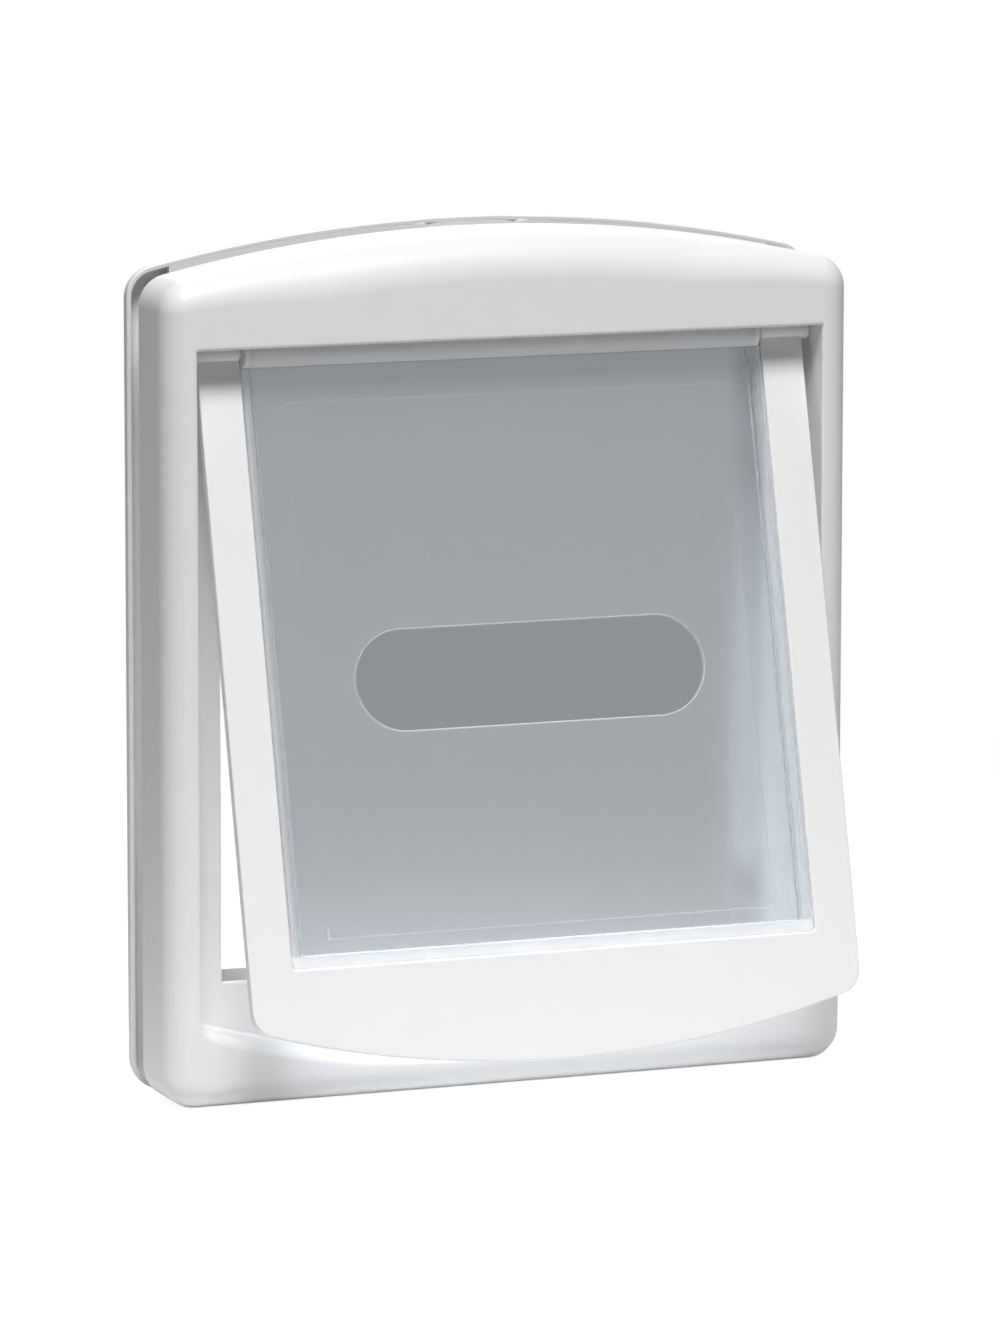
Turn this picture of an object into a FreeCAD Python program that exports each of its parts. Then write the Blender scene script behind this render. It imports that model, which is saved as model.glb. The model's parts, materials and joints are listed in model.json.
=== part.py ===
import FreeCAD, Part
import math
import os
import re
import Sketcher

# Small two-way cat flap, modelled standing upright with its flap pulled 14 degrees open.
# X runs to the right, Y runs through the door towards the room, Z is up, millimetres.
# Y = 0 is the plane where the front frame's rim meets the door, Z = 0 is the base.

sizes = [
    ("frame_width", 198.0, "outside width of both frames"),
    ("front_crest", 233.8, "height of the front frame at its middle"),
    ("front_depth", 22.9, "front face to door"),
    ("crown_radius", 415.0, "arch of the top edge"),
    ("shell_wall", 1.8, "wall of the front frame"),
    ("side_round", 7.5, "rounding of the sides and base towards the front face"),
    ("crown_round", 13.0, "rounding of the arch towards the front face"),
    ("crown_round_half", 55.0, "half length of the arch that has the full rounding"),
    ("base_corner_extra", 1.5, "corners at the base, wider than the side rounding"),
    ("top_corner_extra", 1.0, "corners at the top, wider than the side rounding"),
    ("side_land", 8.74, "frame beside the recess that the surround closes into"),
    ("head_land", 25.8, "frame above the recess, behind the lip"),
    ("recess_floor", 8.4, "lowest point of the recess above the base"),
    ("lip_drop", 2.95, "how far the lip hangs below the roof"),
    ("lip_thickness", 1.0, "thickness of the lip"),
    ("recess_corner", 5.5, "lower corners of the recess"),
    ("mouth_round", 0.6, "edge of the recess at the front face"),
    ("sill_gap", 4.29, "closed panel's flange to the passage's lower edge"),
    ("passage_gap", 2.2, "panel's flange to the passage's sides"),
    ("door_thickness", 9.3, "door panel between the frames"),
    ("rear_depth", 6.0, "depth of the rear frame"),
    ("rear_rise", 1.2, "how far the rear frame stands above the front one"),
    ("rear_wall", 1.8, "back wall of the rear frame"),
    ("rear_rim", 1.3, "rim wall of the rear frame"),
    ("rear_round", 4.0, "rounding of the rear frame's back edge"),
    ("rear_sill_drop", 1.1, "rear opening's sill below the front one"),
    ("rear_side_relief", 0.6, "rear opening wider than the front one, each side"),
    ("web_inset", 12.0, "frame side to the web along the rear frame's arch"),
    ("scoop_half_width", 12.5, "shallow scoop in the middle of the web"),
    ("scoop_depth", 0.9, "depth of the scoop"),
    ("scoop_height", 3.0, "height of the scoop"),
    ("axle_setback", 10.69, "front face to hinge axis"),
    ("axle_drop", 5.25, "recess roof to hinge axis"),
    ("open_angle", 14.26, "angle at which the flap stands open"),
    ("pin_radius", 1.5, "steel hinge pins"),
    ("pin_clearance", 0.05, "radial running clearance on the pins"),
    ("pin_reach", 3.0, "pin length inside the panel's roll"),
    ("pin_boss_radius", 4.0, "boss outside the recess wall"),
    ("clip_room", 1.84, "end of that boss to the frame's shell"),
    ("clip_thickness", 0.8, "retaining clips on the pins"),
    ("clip_radius", 3.5, "outside radius of the clips"),
    ("pin_tail", 0.3, "pin end proud of its clip"),
    ("knuckle_radius", 2.45, "barrels on the surround's arms"),
    ("knuckle_gap", 0.3, "barrel end to recess wall"),
    ("side_gap", 2.66, "surround to recess side"),
    ("floor_gap", 0.85, "surround to recess floor when closed"),
    ("back_gap", 1.81, "closed surround to recess back wall"),
    ("surround_arc", 300.0, "arc of the surround's lower edge"),
    ("surround_thickness", 3.0, "plate of the surround"),
    ("surround_corner", 7.0, "lower corners of the surround"),
    ("arm_width", 12.1, "arms of the surround"),
    ("band_height", 28.74, "surround below its window"),
    ("window_corner", 1.4, "lower corners of the window"),
    ("panel_gap", 0.3, "panel to window edge, and flange to surround"),
    ("panel_front", 0.8, "panel's front skin ahead of the hinge plane"),
    ("panel_thickness", 2.0, "clear plate"),
    ("rim_width", 3.2, "thicker rim of the panel"),
    ("rim_lift", 0.2, "rim proud of the plate"),
    ("flange_overlap", 1.7, "rear flange behind the surround"),
    ("flange_thickness", 1.2, "rear flange"),
    ("flange_start", 8.0, "hinge axis to the flange's upper end"),
    ("roll_radius", 4.1, "clear roll around the hinge axis"),
    ("roll_gap", 0.9, "roll end to surround arm"),
    ("field_side_gap", 8.0, "panel's rim to the raised field, at the sides"),
    ("field_end_gap", 4.26, "panel's rim to the raised field, at the lower end"),
    ("field_top", 13.8, "hinge axis to the field's upper edge"),
    ("field_corner", 2.0, "corners of the field"),
    ("field_lift", 0.15, "field proud of the plate"),
    ("badge_inset", 13.6, "field's sides to the oval badge panel"),
    ("badge_height", 27.5, "oval badge panel"),
    ("badge_drop", 89.5, "hinge axis to the badge's middle"),
    ("badge_depth", 0.3, "badge sunk into the field"),
    ("magnet_rise", 13.5, "surround's lowest point to the magnets' middle"),
    ("magnet_width", 20.0, "bar magnets"),
    ("magnet_height", 8.0, "bar magnets"),
    ("frame_magnet_thickness", 2.0, "magnet behind the recess wall"),
    ("magnet_skin", 0.6, "surround ahead of its magnet"),
    ("cover_margin", 2.0, "magnet covers wider than their magnets, each side"),
    ("frame_cover_thickness", 0.9, "cover behind the frame's magnet"),
    ("surround_cover_thickness", 0.8, "cover behind the surround's magnet"),
    ("pad_margin", 2.5, "magnet pad wider than its magnet, each side"),
    ("pad_gap", 0.3, "closed surround to magnet pad"),
    ("screw_offset", 5.4, "passage side to screw axis"),
    ("lower_screw", 52.0, "height of the lower screws"),
    ("upper_screw_drop", 55.8, "front frame's crest to the upper screws"),
    ("screw_radius", 1.6, "screw shank"),
    ("screw_core_gap", 0.05, "shank to its hole in the front boss"),
    ("screw_through_gap", 0.25, "shank to its hole in the rear boss"),
    ("screw_tip_gap", 1.2, "screw tip to the recess's outer wall"),
    ("screw_end_gap", 0.5, "hole deeper than the screw"),
    ("head_radius", 3.0, "pan head"),
    ("head_height", 2.0, "pan head"),
    ("head_gap", 0.3, "head to counterbore wall"),
    ("rear_boss_seat", 2.2, "boss under the head"),
    ("front_boss_wall", 1.85, "plastic around the screw in the front boss"),
    ("rear_boss_wall", 1.3, "plastic around the counterbore"),
    ("cap_gap", 0.2, "screw cap to head"),
    ("overrun", 1.0, "how far a cutting shape runs past what it cuts"),
]

# Places that several pieces share, each worked out from the sizes above.
places = [
    ("half_width", "frame_width / 2"),
    ("base_corner", "side_round + base_corner_extra"),
    ("top_corner", "side_round + top_corner_extra"),
    ("front_face", "-front_depth"),
    ("front_inside", "front_face + shell_wall"),
    ("hollow_half", "half_width - shell_wall"),
    ("hollow_crest", "front_crest - shell_wall"),
    ("hollow_arch", "crown_radius - shell_wall"),
    ("plate_half", "surround_thickness / 2"),
    ("recess_roof", "front_crest - head_land"),
    ("recess_half_width", "half_width - side_land"),
    ("axle_y", "front_face + axle_setback"),
    ("axle_z", "recess_roof - axle_drop"),
    ("mouth_top", "recess_roof - lip_drop"),
    ("recess_back", "axle_y + plate_half + back_gap"),
    ("recess_depth", "recess_back - front_face"),
    ("recess_arc", "surround_arc + floor_gap"),
    ("tray_half", "recess_half_width + shell_wall"),
    ("tray_front", "front_face + shell_wall / 2"),
    ("tray_back", "recess_back + shell_wall"),
    ("tray_top", "recess_roof + shell_wall"),
    ("tray_floor", "recess_floor - shell_wall"),
    ("tray_arc", "recess_arc + shell_wall"),
    ("surround_half", "recess_half_width - side_gap"),
    ("surround_length", "axle_z - recess_floor - floor_gap"),
    ("window_half", "surround_half - arm_width"),
    ("window_length", "surround_length - band_height"),
    ("flange_back", "plate_half + panel_gap + flange_thickness"),
    ("flange_half", "window_half + flange_overlap"),
    ("flange_bottom", "window_length + flange_overlap"),
    ("passage_half", "flange_half + passage_gap"),
    ("sill_height", "axle_z - flange_bottom - sill_gap"),
    ("rear_crest", "front_crest + rear_rise"),
    ("rear_back", "door_thickness + rear_depth"),
    ("rear_inside", "rear_back - rear_wall"),
    ("rear_hollow_half", "half_width - rear_rim"),
    ("rear_hollow_crest", "rear_crest - rear_rim"),
    ("rear_hollow_arch", "crown_radius - rear_rim"),
    ("rear_passage_half", "passage_half + rear_side_relief"),
    ("web_half_width", "half_width - web_inset"),
    ("knuckle_end", "recess_half_width - knuckle_gap"),
    ("panel_half", "window_half - panel_gap"),
    ("panel_bottom", "window_length - panel_gap"),
    ("rim_inner_half", "panel_half - rim_width"),
    ("rim_inner_bottom", "panel_bottom - rim_width"),
    ("roll_end", "window_half - roll_gap"),
    ("field_half_width", "rim_inner_half - field_side_gap"),
    ("field_bottom", "rim_inner_bottom - field_end_gap"),
    ("badge_end", "badge_height / 2"),
    ("badge_straight", "field_half_width - badge_inset - badge_end"),
    ("pin_inner", "roll_end - pin_reach"),
    ("boss_end", "hollow_half - clip_room"),
    ("pin_outer", "boss_end + clip_thickness + pin_tail"),
    ("screw_x", "passage_half + screw_offset"),
    ("upper_screw", "front_crest - upper_screw_drop"),
    ("screw_tip", "tray_back + screw_tip_gap"),
    ("counterbore", "head_radius + head_gap"),
    ("head_seat", "door_thickness + rear_boss_seat"),
    ("magnet_drop", "surround_length - magnet_rise"),
    ("magnet_half", "magnet_width / 2"),
    ("magnet_low", "magnet_drop + magnet_height / 2"),
    ("magnet_high", "magnet_drop - magnet_height / 2"),
    ("cover_half", "magnet_half + cover_margin"),
    ("cover_low", "magnet_low + cover_margin"),
    ("cover_high", "magnet_high - cover_margin"),
    ("cover_front", "tray_back - frame_cover_thickness"),
    ("surround_cover_front", "plate_half - surround_cover_thickness"),
    ("surround_magnet_front", "magnet_skin - plate_half"),
    ("pad_front", "axle_y + plate_half + pad_gap"),
]

doc = FreeCAD.newDocument("CatFlap")
sheet = doc.addObject("Spreadsheet::Sheet", "Sizes")
for row, (alias, size, note) in enumerate(sizes, 1):
    sheet.set("A%d" % row, alias)
    sheet.set("B%d" % row, str(size))
    sheet.setAlias("B%d" % row, alias)
    sheet.set("C%d" % row, note)
doc.recompute()

size_names = [alias for alias, _, _ in sizes]
place_names = [name for name, _ in places]
words = re.compile(r"\b(" + "|".join(sorted(size_names + place_names, key=len, reverse=True)) + r")\b")


def linked(text):
    # Writes Sizes. or Places. before each name in an expression.
    return words.sub(lambda word: ("Sizes." if word[1] in size_names else "Places.") + word[1], text)


shared = doc.addObject("App::VarSet", "Places")
for name, text in places:
    shared.addProperty("App::PropertyFloat", name)
    shared.setExpression(name, linked(text))
doc.recompute()


def number(name):
    return float(sheet.get(name) if name in size_names else getattr(shared, name))


def bind(item, **expressions):
    # Keyword names stand for properties, with two underscores for a dot.
    for prop, text in expressions.items():
        item.setExpression(prop.replace("__", "."), linked(text))


def box(name, x, y, z):
    # A block between two expressions along each axis.
    block = doc.addObject("Part::Box", name)
    for prop, axis, (low, high) in (("Length", "x", x), ("Width", "y", y), ("Height", "z", z)):
        block.setExpression(prop, linked("(%s) - (%s)" % (high, low)))
        block.setExpression("Placement.Base." + axis, linked(low))
    return block


def rod(name, radius, axis, x, y, z):
    # A cylinder along X or Y, whose own axis has a (low, high) pair.
    piece = doc.addObject("Part::Cylinder", name)
    along = {"X": x, "Y": y}[axis]
    direction = {"X": FreeCAD.Vector(1, 0, 0), "Y": FreeCAD.Vector(0, 1, 0)}[axis]
    turn = FreeCAD.Rotation(FreeCAD.Vector(0, 0, 1), direction)
    piece.Placement = FreeCAD.Placement(FreeCAD.Vector(0, 0, 0), turn)
    start = {"X": (x[0], y, z), "Y": (x, y[0], z)}[axis]
    bind(piece, Radius=radius, Height="(%s) - (%s)" % (along[1], along[0]))
    bind(piece, Placement__Base__x=start[0], Placement__Base__y=start[1], Placement__Base__z=start[2])
    return piece


def fuse(name, pieces):
    joined = doc.addObject("Part::MultiFuse", name)
    joined.Shapes = pieces
    joined.Refine = True
    return joined


def cut(name, base, tool):
    result = doc.addObject("Part::Cut", name)
    result.Base = base
    result.Tool = tool
    result.Refine = True
    return result


def common(name, first, second):
    result = doc.addObject("Part::Common", name)
    result.Base = first
    result.Tool = second
    return result


def both_sides(name, make):
    # The same piece made on the left and on the right.
    return [make(name + "_" + side, sign) for side, sign in (("left", "-1"), ("right", "1"))]


def ordered(sign, inner, outer):
    # The (low, high) pair of an X stretch that lies from inner to outer on one side.
    return (inner, outer) if sign == "1" else ("-(%s)" % outer, "-(%s)" % inner)


def new_body(name, hangs=False):
    body = doc.addObject("PartDesign::Body", name)
    if hangs:
        turn = FreeCAD.Rotation(FreeCAD.Vector(-1, 0, 0), number("open_angle"))
        body.Placement = FreeCAD.Placement(FreeCAD.Vector(0, 0, 0), turn)
        bind(body, Placement__Base__y="axle_y", Placement__Base__z="axle_z")
        bind(body, Placement__Rotation__Angle="open_angle")
    return body


def new_sketch(body, name, role, offset):
    # XZ_Plane faces -Y and YZ_Plane faces +X; offset is the plane's Y or X.
    sketch = body.newObject("Sketcher::SketchObject", name)
    plane = [item for item in body.Origin.OriginFeatures if item.Role == role][0]
    sketch.AttachmentSupport = (plane, "")
    sketch.MapMode = "FlatFace"
    sign = "-" if role == "XZ_Plane" else ""
    bind(sketch, AttachmentOffset__Base__z="%s(%s)" % (sign, offset))
    return sketch


def dimension(sketch, kind, *where):
    # A driving dimension: the geometry it holds, then its expression.
    *spots, text = where
    if kind == "Radius":
        present = sketch.Geometry[spots[0]].Radius
    else:
        step = sketch.getPoint(*spots[2:]) - sketch.getPoint(*spots[:2])
        present = step.x if kind == "DistanceX" else step.y
    index = sketch.addConstraint(Sketcher.Constraint(kind, *spots, present))
    sketch.setExpression("Constraints[%d]" % index, linked(text))


def amount(text):
    # The present value of one name, with or without a minus sign.
    if text == "0":
        return 0.0
    return -number(text[1:]) if text[0] == "-" else number(text)


def arched(sketch, half, flat, crest, radius, split=None):
    # A straight edge, two sides and an arc above or below it, which split cuts into three.
    up = 1 if amount(crest) > amount(flat) else -1
    reach = amount(radius)
    middle = amount(crest) - up * reach
    stops = [amount(half), -amount(half)]
    if split:
        stops[1:1] = [amount(split), -amount(split)]
    heights = [middle + up * math.sqrt(reach ** 2 - stop ** 2) for stop in stops]
    left, right = FreeCAD.Vector(-stops[0], amount(flat), 0), FreeCAD.Vector(stops[0], amount(flat), 0)
    arc_right = FreeCAD.Vector(stops[0], heights[0], 0)
    arc_left = FreeCAD.Vector(stops[-1], heights[-1], 0)
    sketch.addGeometry(Part.LineSegment(left, right))
    sketch.addGeometry(Part.LineSegment(right, arc_right))
    circle = Part.Circle(FreeCAD.Vector(0, middle, 0), FreeCAD.Vector(0, 0, 1), reach)
    angles = [math.atan2(height - middle, stop) for stop, height in zip(stops, heights)]
    for first, second in zip(angles, angles[1:]):
        span = (first, second) if up > 0 else (second, first)
        sketch.addGeometry(Part.ArcOfCircle(circle, *span))
    closing = sketch.addGeometry(Part.LineSegment(arc_left, left))
    enter, leave = (1, 2) if up > 0 else (2, 1)
    arcs = list(range(2, closing))
    sketch.addConstraint(Sketcher.Constraint("Coincident", 0, 2, 1, 1))
    sketch.addConstraint(Sketcher.Constraint("Coincident", 1, 2, arcs[0], enter))
    for first, second in zip(arcs, arcs[1:]):
        sketch.addConstraint(Sketcher.Constraint("Coincident", first, leave, second, enter))
        sketch.addConstraint(Sketcher.Constraint("Coincident", first, 3, second, 3))
    sketch.addConstraint(Sketcher.Constraint("Coincident", arcs[-1], leave, closing, 1))
    sketch.addConstraint(Sketcher.Constraint("Coincident", closing, 2, 0, 1))
    sketch.addConstraint(Sketcher.Constraint("Horizontal", 0))
    sketch.addConstraint(Sketcher.Constraint("Vertical", 1))
    sketch.addConstraint(Sketcher.Constraint("Vertical", closing))
    sketch.addConstraint(Sketcher.Constraint("PointOnObject", arcs[0], 3, -2))
    dimension(sketch, "DistanceX", -1, 1, 0, 2, half)
    dimension(sketch, "DistanceX", -1, 1, 0, 1, "-" + half)
    dimension(sketch, "DistanceY", -1, 1, 0, 1, flat)
    dimension(sketch, "Radius", arcs[0], radius)
    dimension(sketch, "DistanceY", -1, 1, arcs[0], 3, "%s %s %s" % (crest, "-" if up > 0 else "+", radius))
    if split:
        dimension(sketch, "DistanceX", -1, 1, arcs[1], enter, split)
        dimension(sketch, "DistanceX", -1, 1, arcs[1], leave, "-" + split)


def polygon(sketch, points):
    # Straight edges through points given as pairs of names, all held by dimensions.
    spots = [FreeCAD.Vector(amount(x), amount(z), 0) for x, z in points]
    count = len(points)
    for index in range(count):
        sketch.addGeometry(Part.LineSegment(spots[index], spots[(index + 1) % count]))
    for index in range(count):
        sketch.addConstraint(Sketcher.Constraint("Coincident", index, 2, (index + 1) % count, 1))
    for index, (x, z) in enumerate(points):
        dimension(sketch, "DistanceX", -1, 1, index, 1, x)
        dimension(sketch, "DistanceY", -1, 1, index, 1, z)


def rectangle(sketch, half, low, high):
    polygon(sketch, [("-" + half, low), (half, low), (half, high), ("-" + half, high)])


def channel(sketch, half, low, inner_half, inner_low, high):
    # A U that is open at the top.
    right = [(half, low), (half, high), (inner_half, high), (inner_half, inner_low)]
    polygon(sketch, right + [("-" + x, z) for x, z in reversed(right)])


def circle(sketch, radius):
    sketch.addGeometry(Part.Circle(FreeCAD.Vector(0, 0, 0), FreeCAD.Vector(0, 0, 1), 1.0))
    sketch.addConstraint(Sketcher.Constraint("Coincident", 0, 3, -1, 1))
    dimension(sketch, "Radius", 0, radius)


def slot(sketch, straight, end, height):
    # Two half circles joined by straight edges, level, around the middle.
    reach, radius, level = amount(straight), amount(end), amount(height)
    for side, start in ((1, -math.pi / 2), (-1, math.pi / 2)):
        ring = Part.Circle(FreeCAD.Vector(side * reach, level, 0), FreeCAD.Vector(0, 0, 1), radius)
        sketch.addGeometry(Part.ArcOfCircle(ring, start, start + math.pi))
    for up in (1, -1):
        ends = [FreeCAD.Vector(side * up * reach, level + up * radius, 0) for side in (1, -1)]
        sketch.addGeometry(Part.LineSegment(*ends))
    for arc, arc_end, line, line_end in ((0, 2, 2, 1), (1, 1, 2, 2), (1, 2, 3, 1), (0, 1, 3, 2)):
        sketch.addConstraint(Sketcher.Constraint("Tangent", arc, arc_end, line, line_end))
    dimension(sketch, "Radius", 0, end)
    dimension(sketch, "DistanceX", -1, 1, 0, 3, straight)
    dimension(sketch, "DistanceX", -1, 1, 1, 3, "-" + straight)
    dimension(sketch, "DistanceY", -1, 1, 0, 3, height)
    dimension(sketch, "DistanceY", -1, 1, 1, 3, height)


def grow(body, kind, name, sketch, length, both_ways=False):
    # A Pad or Pocket of one sketch.
    feature = body.newObject("PartDesign::" + kind, name)
    feature.Profile = sketch
    bind(feature, Length=length)
    if both_ways:
        feature.SideType = "Symmetric"
    body.Tip = feature
    doc.recompute()
    return feature


def mirrored(body, name, original):
    feature = body.newObject("PartDesign::Mirrored", name)
    feature.Originals = [original]
    plane = [item for item in body.Origin.OriginFeatures if item.Role == "YZ_Plane"][0]
    feature.MirrorPlane = (plane, [""])
    body.Tip = feature
    doc.recompute()
    return feature


def near(first, second):
    # True for two measures of one place on a shape.
    return abs(first - second) < 1e-4


def runs_along_y(edge):
    first, last = edge.Vertexes[0].Point, edge.Vertexes[-1].Point
    return near(first.x, last.x) and near(first.z, last.z) and not near(first.y, last.y)


def lies_at_y(edge, level):
    return all(near(vertex.Point.y, level) for vertex in edge.Vertexes)


def round_body(body, name, radius, choose):
    # Rounds the chosen edges of a body's last feature.
    base = body.Tip
    feature = body.newObject("PartDesign::Fillet", name)
    chosen = ["Edge%d" % index for index, edge in enumerate(base.Shape.Edges, 1) if choose(edge)]
    feature.Base = (base, chosen)
    bind(feature, Radius=radius)
    body.Tip = feature
    doc.recompute()
    return feature


def round_piece(name, base, radius_at):
    # Rounds edges by the radius that radius_at gives at each end, or leaves them where it gives none.
    feature = doc.addObject("Part::Fillet", name)
    feature.Base = base
    feature.Edges = [
        (index, *radius_at(edge))
        for index, edge in enumerate(base.Shape.Edges, 1)
        if radius_at(edge)
    ]
    doc.recompute()
    return feature


def frame_block(name, outline, depth, face, plane, wall, crown, side, split=None):
    # An arched block whose corners and the edge around one face are rounded, wall inside the outer form.
    body = new_body(name + "_body")
    sketch = new_sketch(body, name + "_outline", "XZ_Plane", plane)
    arched(sketch, *outline, split)
    grow(body, "Pad", name + "_pad", sketch, depth)
    inset = amount(wall)
    middle = body.Shape.BoundBox.Center.z
    corner = {False: number("base_corner") - inset, True: number("top_corner") - inset}
    corners = round_piece(
        name + "_corners", body,
        lambda edge: (corner[edge.CenterOfMass.z > middle],) * 2 if runs_along_y(edge) else None)
    level = amount(face)

    def radius_at(edge):
        if not lies_at_y(edge, level):
            return None
        full = number("crown_round_half")
        ends = [edge.valueAt(edge.FirstParameter), edge.valueAt(edge.LastParameter)]
        on_crown = [
            split and end.z > middle and (abs(end.x) < full or near(abs(end.x), full))
            for end in ends
        ]
        return tuple((amount(crown) if top else amount(side)) - inset for top in on_crown)

    return round_piece(name + "_rounded", corners, radius_at)


# Front frame: an arched shell, open at the back, with a tray that the surround closes into.
front_block = frame_block(
    "front_block", ("half_width", "0", "front_crest", "crown_radius"),
    "front_depth", "front_face", "0", "0", "crown_round", "side_round", "crown_round_half")
front_hollow = frame_block(
    "front_hollow", ("hollow_half", "shell_wall", "hollow_crest", "hollow_arch"),
    "front_depth - shell_wall", "front_inside", "0", "shell_wall", "crown_round", "side_round",
    "crown_round_half")
front_shell = cut("front_shell", front_block, front_hollow)

tray_body = new_body("tray_block")
tray_sketch = new_sketch(tray_body, "tray_outline", "XZ_Plane", "tray_back")
arched(tray_sketch, "tray_half", "tray_top", "tray_floor", "tray_arc")
grow(tray_body, "Pad", "tray_pad", tray_sketch, "tray_back - tray_front")
round_body(tray_body, "tray_corners", "recess_corner + shell_wall",
           lambda edge: runs_along_y(edge) and edge.CenterOfMass.z < number("sill_height"))

cavity_body = new_body("cavity")
cavity_sketch = new_sketch(cavity_body, "cavity_outline", "XZ_Plane", "recess_back")
arched(cavity_sketch, "recess_half_width", "recess_roof", "recess_floor", "recess_arc")
grow(cavity_body, "Pad", "cavity_pad", cavity_sketch, "recess_depth - lip_thickness")
round_body(cavity_body, "cavity_corners", "recess_corner",
           lambda edge: runs_along_y(edge) and edge.CenterOfMass.z < number("sill_height"))

mouth_body = new_body("mouth")
mouth_sketch = new_sketch(mouth_body, "mouth_outline", "XZ_Plane", "recess_back")
arched(mouth_sketch, "recess_half_width", "mouth_top", "recess_floor", "recess_arc")
grow(mouth_body, "Pad", "mouth_pad", mouth_sketch, "recess_depth + overrun")
round_body(mouth_body, "mouth_corners", "recess_corner",
           lambda edge: runs_along_y(edge) and edge.CenterOfMass.z < number("sill_height"))

pin_bosses = both_sides("pin_boss", lambda name, sign: rod(
    name, "pin_boss_radius", "X",
    ordered(sign, "recess_half_width + shell_wall / 2", "boss_end"), "axle_y", "axle_z"))


def screw_rods(name, radius, start, end):
    # One rod at each of the four screws.
    return [
        rod("%s_%s_%s" % (name, level, side), radius, "Y", sign + " * screw_x", (start, end),
            level + "_screw")
        for level in ("lower", "upper")
        for side, sign in (("left", "-1"), ("right", "1"))
    ]


front_bosses = screw_rods(
    "front_boss", "screw_radius + screw_core_gap + front_boss_wall", "recess_back + shell_wall / 2", "0")
front_stock = fuse("front_stock", [front_shell, tray_body] + pin_bosses + front_bosses)
passage = box("passage", ("-passage_half", "passage_half"), ("recess_back - overrun", "tray_back + overrun"),
              ("sill_height", "recess_roof"))
front_open = cut("front_open", front_stock, fuse("front_voids", [cavity_body, mouth_body, passage]))
magnet_pad = box("magnet_pad", ("-magnet_half - pad_margin", "magnet_half + pad_margin"),
                 ("pad_front", "recess_back + shell_wall / 2"),
                 ("-magnet_low - pad_margin + axle_z", "-magnet_high + pad_margin + axle_z"))
front_padded = fuse("front_padded", [front_open, magnet_pad])
pin_bores = both_sides("pin_bore", lambda name, sign: rod(
    name, "pin_radius", "X",
    ordered(sign, "recess_half_width - overrun", "boss_end + overrun"), "axle_y", "axle_z"))
screw_cores = screw_rods(
    "screw_core", "screw_radius + screw_core_gap", "screw_tip - screw_end_gap", "overrun")
magnet_pocket = box("magnet_pocket", ("-magnet_half", "magnet_half"),
                    ("cover_front - frame_magnet_thickness", "tray_back + overrun"),
                    ("axle_z - magnet_low", "axle_z - magnet_high"))
cover_pocket = box("cover_pocket", ("-cover_half", "cover_half"), ("cover_front", "tray_back + overrun"),
                   ("axle_z - cover_low", "axle_z - cover_high"))
front_drilled = cut("front_drilled", front_padded, fuse(
    "front_holes", pin_bores + screw_cores + [magnet_pocket, cover_pocket]))
doc.recompute()


def mouth_radius(edge):
    # The mouth's sides, corners and lower edge, but neither its lip nor the outer rounding's edges.
    spot = edge.CenterOfMass
    half, low, high = number("recess_half_width"), number("recess_floor"), number("mouth_top")
    inside = (abs(spot.x) < half or near(abs(spot.x), half)) and low < spot.z < high
    if lies_at_y(edge, number("front_face")) and inside and not near(spot.z, high):
        return (number("mouth_round"),) * 2
    return None


front_frame = round_piece("front_frame", front_drilled, mouth_radius)

# Rear frame: a shallow tray that opens towards the door, with a web along its arch.
rear_block = frame_block(
    "rear_block", ("half_width", "0", "rear_crest", "crown_radius"),
    "rear_depth", "rear_back", "rear_back", "0", "rear_round", "rear_round")
rear_hollow = frame_block(
    "rear_hollow", ("rear_hollow_half", "rear_rim", "rear_hollow_crest", "rear_hollow_arch"),
    "rear_depth - rear_wall + overrun", "rear_inside", "rear_inside", "rear_rim", "rear_round", "rear_round")
rear_shell = cut("rear_shell", rear_block, rear_hollow)
web_stock = box("web_stock", ("-web_half_width", "web_half_width"),
                ("door_thickness", "door_thickness + rear_wall"), ("recess_roof", "rear_crest + overrun"))
rear_web = common("rear_web", rear_block, web_stock)
rear_bosses = screw_rods("rear_boss", "counterbore + rear_boss_wall", "door_thickness", "rear_back")
rear_stock = fuse("rear_stock", [rear_shell, rear_web] + rear_bosses)
rear_opening = box("rear_opening", ("-rear_passage_half", "rear_passage_half"),
                   ("door_thickness - overrun", "rear_back + overrun"),
                   ("sill_height - rear_sill_drop", "recess_roof"))
scoop = box("scoop", ("-scoop_half_width", "scoop_half_width"),
            ("door_thickness - overrun", "door_thickness + scoop_depth"),
            ("rear_crest - scoop_height", "rear_crest + overrun"))
screw_ways = screw_rods(
    "screw_way", "screw_radius + screw_through_gap", "door_thickness - overrun", "rear_back + overrun")
head_ways = screw_rods("head_way", "counterbore", "head_seat", "rear_back + overrun")
rear_voids = fuse("rear_voids", [rear_opening, scoop] + screw_ways + head_ways)
rear_frame = cut("rear_frame", rear_stock, rear_voids)

# Screws that clamp the two frames on the door, and the caps over their heads.
shanks = screw_rods("shank", "screw_radius", "screw_tip", "head_seat")
heads = screw_rods("head", "head_radius", "head_seat", "head_seat + head_height")
frame_screws = fuse("frame_screws", shanks + heads)
screw_caps = doc.addObject("Part::Compound", "screw_caps")
screw_caps.Links = screw_rods("cap", "counterbore", "head_seat + head_height + cap_gap", "rear_back")

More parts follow.
